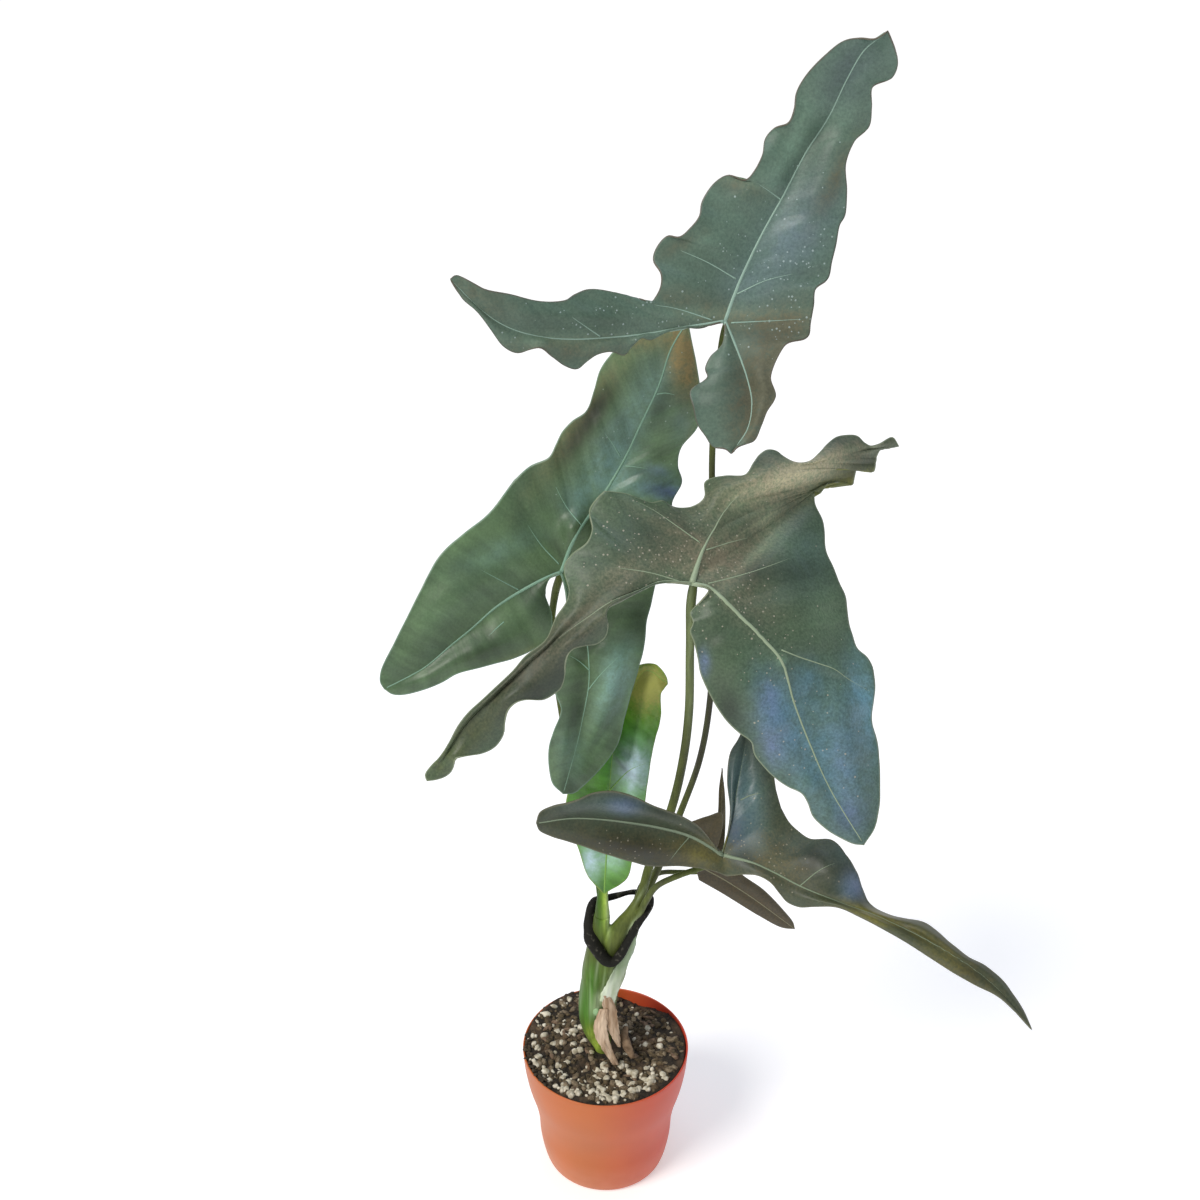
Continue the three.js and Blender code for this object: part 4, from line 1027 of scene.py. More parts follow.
def lay_tube(bm, path, radii, sides, flatness=1.0, ring=False):
    steps = len(path) - 1
    headings = []
    for i in range(steps + 1):
        before = path[(i - 1) % steps] if ring else path[max(i - 1, 0)]
        after = path[(i + 1) % steps] if ring else path[min(i + 1, steps)]
        headings.append((after - before).normalized())
    side = headings[0].cross(Vector((0, -1, 0.2))).normalized()
    sideways = []
    for heading in headings:
        side = (side - heading * side.dot(heading)).normalized()
        sideways.append(side.copy())
    for corner, row, share in grid_corners(bm, steps, sides):
        angle = 2 * math.pi * share
        across = sideways[row]
        upward = across.cross(headings[row])
        offset = across * math.cos(angle) + upward * math.sin(angle) * flatness
        corner.co = path[row] + offset * radii[row]
    close_tube(bm, ring)


def merge_into(bm, part):
    """Moves a finished part into a larger mesh. A fresh mesh for each part keeps its operators quick."""
    mesh = mesh_from("part", part)
    bm.from_mesh(mesh)
    bpy.data.meshes.remove(mesh)


def add_cord(bm, path, radii, sides):
    cord = bmesh.new()
    lay_tube(cord, path, radii, sides)
    merge_into(bm, cord)


print("the seam of a tube is merged within", MERGE, "mm")

# %% The ribs and the side veins
RIB_STEPS = 70
RIB_SIDES = 8
VEIN_STEPS = 22
VEIN_SIDES = 6
BACK_RIB = 1.5
FRONT_SINK = 0.35
BACK_SINK = 0.1
RIB_BITE = 0.1
VEIN_BITE = 0.12
RIB_RADII = {
    "blade_a": {"front": (0.95, 0.4, 1.3), "left": (0.8, 0.3, 1.3), "right": (0.85, 0.38, 1.0)},
    "blade_b": {"front": (1.5, 0.05, 5.0), "left": (0.8, 0.1, 4.0), "right": (0.95, 0.3, 1.0)},
    "blade_c": {"front": (1.05, 0.5, 1.0), "left": (1.0, 0.4, 1.0), "right": (0.6, 0.25, 1.0)},
    "blade_d": {"front": (0.9, 0.2, 3.0), "left": (0.4, 0.2, 1.0), "right": (1.3, 0.5, 1.0)},
    "blade_e": {"front": (0.7, 0.3, 1.0)},
    "blade_f": {"front": (0.5, 0.25, 1.0), "left": (0.3, 0.2, 1.0), "right": (0.3, 0.2, 1.0)},
}
VEIN_RADII = (0.46, 0.10)
SIDE_VEINS = {
    "blade_a": [[[736, 279], [707, 262], [677, 249]], [[737, 294], [765, 281], [796, 273]],
        [[781, 200], [769, 191], [757, 183]], [[712, 320], [680, 310], [650, 304]],
        [[600, 336], [584, 325], [569, 315]], [[731, 323], [770, 321], [806, 319]]],
    "blade_b": [[[781, 650], [799, 657], [820, 664], [834, 669], [848, 679], [871, 692]],
        [[708, 584], [743, 575], [778, 563], [793, 557]], [[706, 550], [728, 543], [750, 537]],
        [[700, 543], [673, 524], [652, 510], [632, 500]], [[680, 582], [650, 573], [610, 567]]],
    "blade_c": [[[559, 564], [541, 545], [526, 523]], [[582, 527], [566, 506], [554, 483]],
        [[519, 590], [500, 580], [479, 569]], [[504, 622], [496, 629], [488, 637]],
        [[620, 456], [612, 443], [603, 431]], [[625, 466], [637, 467], [649, 469]],
        [[657, 394], [666, 393], [676, 395]], [[589, 670], [577, 660], [568, 655]],
        [[588, 690], [603, 672], [620, 655]]],
    "blade_d": [[[690, 836], [676, 852], [668, 862]], [[800, 886], [820, 870], [838, 862]],
        [[741, 800], [752, 795], [764, 793]]],
    "blade_e": [[[608, 830], [622, 812], [636, 805]], [[610, 790], [630, 770], [648, 762]],
        [[608, 850], [596, 838], [582, 832]]],
    "blade_f": [],
}


def lay_ribs(bm, name, lobe, skin):
    """A cord above the skin and a thicker one below it, both sunk into it by a share of their radius."""
    thick, thin, taper = RIB_RADII[name][lobe]
    radii = []
    front = []
    back = []
    for i, place in enumerate(rib_line(name, BLADES[name][lobe], RIB_STEPS)[:-1]):
        radius = (thin + (thick - thin) * (1 - i / RIB_STEPS) ** taper) * MM
        spot = from_photo(place.x, place.y, place.z - patch_sum(RELIEF[name], place.x, place.y))
        normal = skin.find_nearest(spot)[1]
        radii.append(radius)
        front.append(spot + normal * ((BLADE_THICKNESS / 2 - RIB_BITE) * MM - FRONT_SINK * radius))
        back.append(spot - normal * (BLADE_THICKNESS / 2 * MM - BACK_SINK * radius))
    add_cord(bm, front, radii, RIB_SIDES)
    add_cord(bm, back, [radius * BACK_RIB for radius in radii], RIB_SIDES)


def lay_vein(bm, vein, skin):
    spots = []
    for place in evenly_spaced(smooth_curve([(*point, 0) for point in vein]), VEIN_STEPS):
        towards = (from_photo(place.x, place.y, 0) - EYE).normalized()
        spot, normal = skin.ray_cast(EYE, towards)[:2]
        if spot:
            spots.append(spot + normal * (BLADE_THICKNESS / 2 - VEIN_BITE) * MM)
    thick, thin = VEIN_RADII
    radii = [(thick + (thin - thick) * i / len(spots)) * MM for i in range(len(spots))]
    add_cord(bm, spots, radii, VEIN_SIDES)


def leaf_ribs(name, skin):
    bm = bmesh.new()
    for lobe in RIB_RADII[name]:
        lay_ribs(bm, name, lobe, skin)
    for vein in SIDE_VEINS[name]:
        lay_vein(bm, vein, skin)
    bmesh.ops.recalc_face_normals(bm, faces=bm.faces)
    return bm


print("side veins that show:", sum(len(veins) for veins in SIDE_VEINS.values()))

# %% [markdown]
# Each leaf is now put together: its skin, its ribs and four finishes, for the waxy face, the olive
# underside, the rim and the ribs. The skin is a single sheet, and a real blade is a little under 1 mm
# thick. The thickness could be modelled as a second sheet, but a modifier keeps the two faces
# parallel and can give the back and the rim a finish of their own.

# %% Build the six leaves
def thicken(piece, thickness, back=0, rim=0):
    wall = piece.modifiers.new("thickness", "SOLIDIFY")
    wall.thickness = thickness * MM
    wall.offset = 0
    wall.material_offset = back
    wall.material_offset_rim = rim


for name in BLADES:
    colours = LEAF_COLOURS[name]
    wax = leaf_material(name + " waxy skin", colours, LEAF_ROUGHNESS[name], BASE_DUST[name],
                        STREAKINESS[name], GRAININESS[name])
    under = plain_leaf_material(name + " underside", colours["under"], colours["deep"], 0.5)
    rim = plain_leaf_material(name + " rim", colours["rim"], colours["dust"], 0.5)
    rib_finish = plain_leaf_material(name + " rib", colours["vein"], colours["vein"], 0.45)
    bm = leaf_skin(name)
    ribs = leaf_ribs(name, BVHTree.FromBMesh(bm))
    thicken(make_piece(name + "_skin", bm, [wax, under, rim], [name]), BLADE_THICKNESS, back=1, rim=2)
    make_piece(name + "_ribs", ribs, [rib_finish])

# %% [markdown]
# The stalks rise side by side from the stem. A leaf stalk is a firm round cord that gets thinner
# upwards. Its foot widens into a sheath that wraps the stem. Each foot below is read in the
# photograph as [column, row, depth, radius], from inside the stem upwards, and each route as
# [column, row, depth]. The radii after it are spread evenly over the whole stalk. The tints and the
# relief of stem and stalks are soft oval patches, written as those of the leaves are.

# %% The routes of the stalks
STALKS = {
    "petiole_a": {
        "foot": [[604, 985, -2, 7], [611, 962, -2, 7], [624, 938, -1, 5.6], [637, 914, -1, 4],
            [647, 891, 0, 2.6]],
        "route": [[659, 866, 2], [679, 816, 8], [699.5, 760, 14], [710, 700, 18], [713, 620, 22],
            [713, 540, 26], [712, 464, 26], [714, 420, 24], [718, 385, 21], [721, 354, 16.5],
            [724, 333, 11.5], [727.5, 316, 7.8]],
        "radii": [3.4, 2.2, 2, 1.9],
    },
    "petiole_b": {
        "foot": [[602, 985, -5, 8.5], [607, 962, -8, 9], [613, 945, -9, 8.6], [618, 934, -10, 7.6],
            [624, 924, -10, 6.2], [631, 914, -10, 4.8], [638, 902, -10, 3.8], [643, 889, -9.5, 2.7]],
        "route": [[649, 867, -9], [671, 810, -13], [683, 760, -20], [689, 710, -26], [690, 650, -30],
            [691, 604, -34], [694.5, 578, -36.4]],
        "radii": [3.4, 2.9, 2.5],
    },
    "petiole_c": {
        "foot": [[596, 975, 2, 6], [600, 945, 2, 5], [601, 920, 2, 3.6], [601.5, 905, 2, 2.3]],
        "route": [[597, 870, 11], [588, 835, 21], [574, 780, 27], [560, 700, 28], [551, 640, 26],
            [555, 594, 20], [559.5, 578, 14.5], [563.5, 566, 12.6]],
        "radii": [2.8, 2.2],
    },
    "petiole_d": {
        "foot": [[607, 990, -4, 7.5], [614, 972, -6, 7.5], [620, 958, -8, 6.8], [627, 943, -10, 5.4],
            [634, 927, -13, 3.9], [641, 911, -17, 2.2]],
        "route": [[646, 901, -20], [657, 886, -25], [680, 875, -31], [703, 867, -35], [722, 856, -38.8]],
        "radii": [2.6, 1.9],
    },
    "petiole_e": {
        "foot": [[594, 990, -3, 9], [595, 968, -5, 8.8], [597.5, 948, -7, 7.6], [600.5, 930, -8, 6.1],
            [602.2, 915, -8, 5.7]],
        "route": [[602.3, 905, -8], [603, 893, -6], [605, 878, -1]],
        "radii": [5.8, 5.8, 5.7, 5, 2.2],
    },
    "petiole_f": {
        "foot": [[606, 975, 3, 6], [620, 945, 5, 4.6], [628, 925, 6, 3.2], [634, 908, 7, 1.9]],
        "route": [[643, 883, 9], [660, 873, 11], [680, 872, 11], [694, 872, 8.5], [705, 869.5, 3.4]],
        "radii": [2.3, 1.5],
    },
}
# Painted light and shade: the light patches below are painted highlights and painted shade, and the yellow
# and pale stripe up the young stalk and a few pale streaks on the stalks are painted highlights.
STEM_TINTS = {
    "bright": [[587, 1008, 13, 36, 0, 1.0], [603, 902, 9, 28, 0, 1.0], [598, 975, 16, 16, 0, 0.45]],
    "yellow": [[598, 1045, 11, 12, 0, 0.8], [591, 1032, 6, 8, 0, 0.5], [606, 903, 3.8, 34, 0, 0.75]],
    "pale": [[627, 962, 5, 13, 25, 0.9], [614, 982, 5, 13, 15, 0.8], [602, 998, 6, 6, 0, 0.9],
        [620, 984, 4, 14, 5, 0.8], [632, 927, 2.2, 11, 32, 0.85], [597, 1010, 6, 9, 0, 0.5],
        [597, 968, 1.3, 16, 8, 0.35], [590, 1000, 1.1, 22, 0, 0.25], [608.5, 908, 2.6, 26, 0, 0.45],
        [583, 985, 1.6, 40, 6, 0.12], [642, 893, 1.5, 14, 32, 0.3], [603, 985, 1.1, 14, 8, 0.3],
        [691, 640, 5, 90, 0, 0.35]],
    "light": [[606, 903, 3.6, 34, 0, 0.8], [596.5, 903, 3.5, 30, 0, -0.4], [597, 1043, 6, 12, 0, 0.5],
        [588, 1000, 4, 40, 4, 0.12], [606, 953, 20, 9, 0, -0.3], [603, 948, 2, 10, 6, -0.3],
        [612, 976, 1.5, 16, 16, -0.3], [652, 880, 3, 20, 32, -0.3], [636, 905, 2, 20, 32, 0.15],
        [596, 1000, 3, 40, 6, -0.15], [686, 775, 3, 20, 15, -0.25]],
    "brown": [[700, 755, 16, 50, 14, 0.9], [712, 690, 12, 60, 0, 0.8], [712, 480, 12, 30, 0, 0.5],
        [665, 866, 8, 16, 30, 0.8], [655, 895, 3, 16, 30, 0.7], [574, 590, 14, 14, 0, 0.5]],
}
STEM_RELIEF = [[605, 955, 1.4, 26, 6, -1.0], [597, 985, 1.2, 34, 5, 0.5], [589, 1000, 1.1, 36, 0, 0.4],
    [611, 975, 1.4, 18, 15, 0.6], [583, 990, 1.2, 34, 6, 0.4], [602, 1000, 1.2, 18, 0, 0.5]]


def radius_at(radii, along):
    place = along * (len(radii) - 1)
    index = min(int(place), len(radii) - 2)
    return radii[index] + (radii[index + 1] - radii[index]) * (place - index)


thickest = max(point[3] for stalk in STALKS.values() for point in stalk["foot"])
print("the thickest foot is", thickest, "mm in radius")

# %% [markdown]
# Stem and stalks have one finish: living green fibre under a dull wax. It is bright where a foot is
# young, yellow at the base, brownish higher up, and pale along the dry edges of the sheaths. Painted
# light and shade lie over this: a painted highlight up the right of the young stalk, in yellow, pale
# and lighter green, and in a few pale streaks on the other stalks, and painted shade on the young
# stalk's left, under the tie and in narrow lines between the stalks. The pale marks could be separate
# strips, but they are only a change of colour, so they are kept with the corners as tints. They are
# laid only on the side that the photograph shows.

# %% The finish of stalks and stem
STEM_LAYERS = ("bright", "yellow", "pale", "light", "brown")
STEM_COLOURS = {"bright": "#437021", "yellow": "#9db648", "pale": "#b6c8a0", "brown": "#46463a"}
STEM_GLOSS = 0.2
SIDE_IN_VIEW = (-0.2, 0.3)


def paint_stem(bm):
    """Keeps with each corner how much of each tint it has. The pale marks stay on the side in view."""
    bm.normal_update()
    layers = {layer: bm.verts.layers.float.new(layer) for layer in STEM_LAYERS}
    # The light tint is painted light and shade, and some pale and yellow marks are painted highlights.
    for corner in bm.verts:
        column, row = to_photo(corner.co)
        seen = smoothstep((EYE - corner.co).normalized().dot(corner.normal), *SIDE_IN_VIEW)
        for layer in STEM_LAYERS:
            share = 1 if layer in ("bright", "brown") else seen
            corner[layers[layer]] = patch_sum(STEM_TINTS[layer], column, row) * share


def stem_material(name, colour, deep, roughness):
    # Living sheaths and stalks: waxy and finely fibred, so the noise is squeezed in height. Real
    # fibres are thinner than 1.4 mm, and are drawn this coarse to show.
    material, tree = new_material(name)
    kept = {}
    for layer in STEM_LAYERS:
        kept[layer] = add_node(tree, "ShaderNodeAttribute", {"attribute_name": layer}, {}).outputs["Fac"]
    place = add_node(tree, "ShaderNodeTexCoord", {}, {}).outputs["Object"]
    drawn = add_node(tree, "ShaderNodeMapping", {}, {"Vector": place, "Scale": (1, 1, 0.06)})
    fibre = add_node(tree, "ShaderNodeTexNoise", {},
                     {"Vector": drawn.outputs[0], "Scale": repeats(1.4286), "Detail": 4})
    strand = add_node(tree, "ShaderNodeTexNoise", {},
                      {"Vector": drawn.outputs[0], "Scale": repeats(4.1667), "Detail": 2})
    mixed = mottled(tree, place, 9.091, 4, (0.35, 0.65), linear(colour), linear(deep))[0]
    ragged = add_node(tree, "ShaderNodeMapRange", {},
                      {"Value": strand.outputs["Fac"], "From Min": 0.35, "From Max": 0.65,
                       "To Min": 0.7, "To Max": 1.2})
    # The yellow and pale tints are partly painted highlights on the stalks.
    for layer, tint in STEM_COLOURS.items():
        mixed = patched(tree, kept[layer], ragged.outputs[0], mixed, linear(tint))[0]
    # Painted highlights and painted shade: the light tint makes the colour lighter and darker.
    threaded = varied(tree, lightened(tree, mixed, kept["light"]), fibre.outputs["Fac"], 0.18)
    return finish_surface(material, threaded, roughness, strand.outputs["Fac"], 0.45, 0.4,
                          {"IOR": LEAF_IOR, "Specular IOR Level": STEM_GLOSS})


living_stem = stem_material("living stem and stalks", "#5d6730", "#505a2c", 0.48)
print(living_stem.name, "has", len(STEM_COLOURS), "tints")

# %% [markdown]
# A stalk is a tube along a smooth route, slightly flattened, as the real ones are. Just under its
# leaf it swells into a short joint, with which the plant turns the leaf to the light, and then it
# narrows into the blade. A bevelled curve could draw it too, but a tube in a bmesh has corners that
# can keep the tints.

# %% Build the six stalks
STALK_STEPS = 110
STALK_SIDES = 24
STALK_FLATNESS = 0.92
JOINT_PLACE = 0.95
JOINT_LENGTH = 0.04
JOINT_SWELLING = 0.4
JOINT_TAPER = 0.35
TAPER_START = 0.975

for name, stalk in STALKS.items():
    knots = [from_photo(*point[:3]) for point in stalk["foot"] + stalk["route"]]
    path = evenly_spaced(smooth_curve(knots), STALK_STEPS)
    radii = []
    for i in range(STALK_STEPS + 1):
        along = i / STALK_STEPS
        swelling = JOINT_SWELLING * math.exp(-((along - JOINT_PLACE) / JOINT_LENGTH) ** 2)
        taper = 1 - JOINT_TAPER * smoothstep(along, TAPER_START, 1)
        radii.append((radius_at(stalk["radii"], along) + swelling) * taper * MM)
    bm = bmesh.new()
    lay_tube(bm, path, radii, STALK_SIDES, flatness=STALK_FLATNESS)
    bmesh.ops.recalc_face_normals(bm, faces=bm.faces)
    paint_stem(bm)
    make_piece(name + "_rod", bm, [living_stem], [name])

# %% [markdown]
# The pot is a thin moulded nursery pot. It is a body of revolution, so half of its section is drawn
# as a smooth curve and spun round the upright axis, inside and outside in one closed wall. Its lip is
# rounded, and its floor has six drain holes, cut by one Boolean with a ring of cylinders. A lathe
# shape like this could also be stacked from rings, but a spin keeps the section exact. The plastic is
# satin, turns from a yellower orange at the left to a redder one at the right, and is pale near the
# foot with dried splashes.

# %% The moulded plastic
def plastic_material():
    # Injection-moulded polypropylene: a satin skin that scatters light softly, with faint flow lines.
    material, tree = new_material("moulded terracotta polypropylene")
    place = add_node(tree, "ShaderNodeTexCoord", {}, {}).outputs["Object"]
    axes = add_node(tree, "ShaderNodeSeparateXYZ", {}, {0: place})
    cloud = add_node(tree, "ShaderNodeTexNoise", {}, {"Vector": place, "Scale": repeats(45.45), "Detail": 3})
    flow = add_node(tree, "ShaderNodeMapping", {}, {"Vector": place, "Scale": (1, 1, 0.2)})
    lines = add_node(tree, "ShaderNodeTexNoise", {},
                     {"Vector": flow.outputs[0], "Scale": repeats(3.846), "Detail": 2})
    # The colour turns from a yellower orange at the left to a redder one at the right.
    side = add_node(tree, "ShaderNodeMapRange", {"interpolation_type": "SMOOTHSTEP"},
                    {"Value": axes.outputs["X"], "From Min": -20 * MM, "From Max": 55 * MM})
    wall = add_node(tree, "ShaderNodeMix", {"data_type": "RGBA"},
                    {0: side.outputs[0], 6: linear("#b8632d"), 7: linear("#cd4a33")})
    tinted = varied(tree, wall.outputs[2], cloud.outputs["Fac"], 0.07)
    # Splashed soil and lime leave a pale bloom near the foot.
    low = add_node(tree, "ShaderNodeMapRange", {},
                   {"Value": axes.outputs["Z"], "From Min": 4 * MM, "From Max": 30 * MM, "To Min": 0.3,
                    "To Max": 0})
    marks = add_node(tree, "ShaderNodeTexNoise", {}, {"Vector": place, "Scale": repeats(7.143), "Detail": 5})
    bloom = patched(tree, low.outputs[0], marks.outputs["Fac"], tinted, linear("#e2a48c"))[0]
    worn = add_node(tree, "ShaderNodeMapRange", {},
                    {"Value": cloud.outputs["Fac"], "To Min": 0.38, "To Max": 0.52})
    return finish_surface(material, bloom, worn.outputs[0], lines.outputs["Fac"], 0.15, 0.15,
                          {"IOR": 1.49, "Subsurface Weight": 0.12, "Subsurface Scale": 4 * MM})


pot_plastic = plastic_material()
print(pot_plastic.name, "has", len(pot_plastic.node_tree.nodes), "nodes")

# %% The pot
RIM_RADIUS = 60
POT_HEIGHT = 100
WALL = 1.2
BASE_THICKNESS = 1.6
LIP_STEPS = 6
DRAIN_HOLES = 6
DRAIN_HOLE_RADIUS = 3.5
DRAIN_CIRCLE_RADIUS = 30
POT_STEPS = 128
OUTER_WALL = [(41, 0), (44.2, 1.6), (45.6, 6), (48.3, 21), (49.4, 38), (52, 53), (56.4, 70), (59, 86),
              (RIM_RADIUS, POT_HEIGHT)]
INNER_WALL = [(radius - WALL, height) for radius, height in reversed(OUTER_WALL[2:])]
INNER_WALL.append((43, BASE_THICKNESS))
POT_FOOT = [(0, 0.8), (36, 0.8), (38, 0), (41, 0), (43, 0.4)]


def wall_radius(height):
    for (low_radius, low), (high_radius, high) in zip(OUTER_WALL, OUTER_WALL[1:]):
        if height <= high:
            return low_radius + (height - low) / (high - low) * (high_radius - low_radius)
    return RIM_RADIUS


def smooth_wall(wall):
    """A wall's section as a smooth curve, up to where the rounded lip begins."""
    curve = smooth_curve([(radius, height, 0) for radius, height in wall])
    return [(place.x, place.y) for place in curve[::4] if place.y < POT_HEIGHT - WALL]


def spin_profile(bm, profile, steps):
    corners = [bm.verts.new(Vector((radius, 0, height)) * MM) for radius, height in profile]
    edges = [bm.edges.new(pair) for pair in zip(corners, corners[1:])]
    bmesh.ops.spin(bm, geom=corners + edges, cent=(0, 0, 0), axis=(0, 0, 1), dvec=(0, 0, 0),
                   angle=2 * math.pi, steps=steps, use_merge=True, use_normal_flip=False,
                   use_duplicate=False)
    bmesh.ops.remove_doubles(bm, verts=bm.verts, dist=MERGE * MM)
    bmesh.ops.recalc_face_normals(bm, faces=bm.faces)


lip = []
for i in range(LIP_STEPS + 1):
    angle = math.pi * i / LIP_STEPS
    lip.append((RIM_RADIUS - WALL / 2 + WALL / 2 * math.cos(angle),
                POT_HEIGHT - WALL / 2 + WALL / 2 * math.sin(angle)))
bm = bmesh.new()
outside = POT_FOOT + smooth_wall(OUTER_WALL[1:])
inside = smooth_wall(INNER_WALL) + [(0, BASE_THICKNESS)]
spin_profile(bm, outside + lip + inside, POT_STEPS)
pot = make_piece("pot_wall", bm, [pot_plastic], ["pot"])

# %% The drain holes
cutter = bmesh.new()
for i in range(DRAIN_HOLES):
    turn = Matrix.Rotation(2 * math.pi * i / DRAIN_HOLES, 4, "Z")
    matrix = turn @ Matrix.Translation((DRAIN_CIRCLE_RADIUS * MM, 0, 0))
    bmesh.ops.create_cone(cutter, cap_ends=True, segments=24, radius1=DRAIN_HOLE_RADIUS * MM,
                          radius2=DRAIN_HOLE_RADIUS * MM, depth=4 * BASE_THICKNESS * MM, matrix=matrix)
drain_cutter = place_object("drain_cutter", mesh_from("drain_cutter", cutter))
cut = pot.modifiers.new("drain holes", "BOOLEAN")
cut.operation = "DIFFERENCE"
cut.object = drain_cutter
cut.solver = "EXACT"
apply_modifiers(pot)
bpy.data.objects.remove(drain_cutter)
print("the pot wall has", len(pot.data.polygons), "faces after its holes are cut")

# %% [markdown]
# The potting mix is peat with bark, coir and white perlite. Its surface is a disc spun from a line
# and pushed up and down by layered noise. Hundreds of crumbs, flakes of bark and grains of perlite
# lie on it. They could be drawn as a pattern, but real grains catch the light and cast shadows. Each
# is a small ball of a few dozen faces that noise makes uneven, at a seeded place.

# %% The shape and the finish of the soil
SOIL_LEVEL = 95
SOIL_HEAPS = [(2.5, (-2, -16), 12), (4, (-26, 26), 30), (-10, (28, 54), 22)]
STEM_X = 0
STEM_Y = -1.5


def mound(x, y, height, middle, spread):
    return height * math.exp(-((x - middle[0]) ** 2 + (y - middle[1]) ** 2) / spread ** 2)


def soil_height(x, y):
    """Low lumps, a heap at the front, one at the back left, a hollow at the back right, a raised edge."""
    lumps = 0.7 * math.sin(x / 5 + 1.3) * math.sin(y / 6.2)
    heaps = sum(mound(x, y, *heap) for heap in SOIL_HEAPS)
    edge = 3.6 * smoothstep(math.hypot(x, y), 34, 56)
    return SOIL_LEVEL + lumps + heaps + edge


def soil_material(name, dark, light):
    # Damp peat: matt and crumbly, so it swallows the light, with tan spots where fibres dry.
    material, tree = new_material(name)
    place = add_node(tree, "ShaderNodeTexCoord", {}, {}).outputs["Object"]
    base, crumb = mottled(tree, place, 2.381, 6, (0.35, 0.68), linear(dark), linear(light), coarseness=0.7)
    tanned = mottled(tree, place, 11.11, 3, (0.5, 0.72), base, linear("#6b563f"), most=0.6)[0]
    return finish_surface(material, tanned, 0.92, crumb, 0.9, 1.2, {})


def grain_material(name, colour, other, size, roughness):
    # Bark and perlite: hard crumbly grains, pitted all over, so they are matt from every side.
    material, tree = new_material(name)
    place = add_node(tree, "ShaderNodeTexCoord", {}, {}).outputs["Object"]
    base, pits = mottled(tree, place, size, 4, (0.35, 0.65), linear(colour), linear(other))
    return finish_surface(material, base, roughness, pits, 0.7, 0.5, {})


print("the soil's height beside the stem is", round(soil_height(12, 0), 1), "mm")

# %% The soil
SOIL_RINGS = 70
SOIL_STEPS = 190
SOIL_RADIUS = 57.9
SOIL_GAP = 0.6
CLOD_HEIGHT = 1.1
CLOD_SIZE = 4.5
CRUMB_HEIGHT = 1.3
CRUMB_SIZE = 2.6
STEM_HOLE = (8, 12)

bm = bmesh.new()
line = [(0.0, SOIL_LEVEL)]
line += [(SOIL_RADIUS * (i / SOIL_RINGS) ** 0.9, SOIL_LEVEL) for i in range(1, SOIL_RINGS + 1)]
side = [(wall_radius(height) - WALL - SOIL_GAP, height) for height in (80, 70, 53, 38, 21, 6)]
spin_profile(bm, line + side + [(42, BASE_THICKNESS + 0.3), (0, BASE_THICKNESS + 0.3)], SOIL_STEPS)
for corner in bm.verts:
    if abs(corner.co.z / MM - SOIL_LEVEL) < MERGE:
        x = corner.co.x / MM
        y = corner.co.y / MM
        rough = CLOD_HEIGHT * noise.fractal(Vector((x, y, 3)) / CLOD_SIZE, 0.7, 2.1, 4)
        rough += CRUMB_HEIGHT * abs(noise.noise(Vector((x, y, 9)) / CRUMB_SIZE))
        off_stem = smoothstep(math.hypot(x - STEM_X, y - STEM_Y), *STEM_HOLE)
        corner.co.z = (soil_height(x, y) + rough * off_stem) * MM
bmesh.ops.recalc_face_normals(bm, faces=bm.faces)
make_piece("soil_mix", bm, [soil_material("damp peat", "#100d09", "#3d3427")], ["soil"])

# %% [markdown]
# The loose grains come in four kinds, from fine peat crumbs to long flakes of bark. White perlite
# floats up when a pot is watered, and here it lies in clusters, mostly at the front. A particle
# system could scatter them all, but seeded draws give the same grains each time and keep them off
# the stem and the wall.

# %% What lies on the soil
SCATTER_RADIUS = 56.5
WALL_CLEARANCE = 57.5
STEM_CLEARANCE = 11
GRAIN_TILT = 0.7
GRAIN_UNEVENNESS = 0.35
CLUSTER_SIZE = 9


def add_grain(bm, draw, place, size, stretch, flatness, level):
    turn = Matrix.Rotation(draw.uniform(0, 2 * math.pi), 4, "Z")
    tilt = Matrix.Rotation(draw.uniform(-GRAIN_TILT, GRAIN_TILT), 4, "X")
    middle = Vector(place) * MM
    matrix = Matrix.Translation(middle) @ turn @ tilt @ Matrix.Diagonal((stretch, 1, flatness, 1))
    grain = bmesh.new()
    bmesh.ops.create_icosphere(grain, subdivisions=level, radius=size * MM, matrix=matrix)
    for corner in grain.verts:
        uneven = 1 + GRAIN_UNEVENNESS * noise.noise(corner.co / (0.9 * size * MM))
        corner.co = middle + (corner.co - middle) * uneven
    merge_into(bm, grain)


def scatter(name, count, seed, sizes, stretches, flatness, level, material, spread):
    draw = random.Random(seed)
    bm = bmesh.new()
    placed = 0
    while placed < count:
        angle = draw.uniform(-math.pi, math.pi)
        radius = SCATTER_RADIUS * math.sqrt(draw.random())
        x = radius * math.cos(angle)
        y = radius * math.sin(angle)
        size = draw.uniform(*sizes) * draw.uniform(0.75, 1)
        stretch = draw.uniform(*stretches)
        off_stem = math.hypot(x - STEM_X, y - STEM_Y) - STEM_CLEARANCE
        off_wall = WALL_CLEARANCE - size * stretch - radius
        if min(off_stem, off_wall) < 0 or draw.random() > spread(x, y):
            continue
        lift = size * draw.uniform(-0.1, 0.45)
        add_grain(bm, draw, (x, y, soil_height(x, y) + lift), size, stretch, flatness, level)
        placed += 1
    make_piece(name, bm, [material])


def everywhere(x, y):
    return 1.0


def front_heavy(x, y):
    clustered = smoothstep(noise.noise(Vector((x / CLUSTER_SIZE, y / CLUSTER_SIZE, 4))), -0.3, 0.25)
    front = 0.9 * smoothstep(-y - 0.3 * abs(x - 8), 6, 30)
    left = 0.3 * smoothstep(-x, 15, 40)
    return clamp((0.10 + front + left) * (0.15 + clustered))


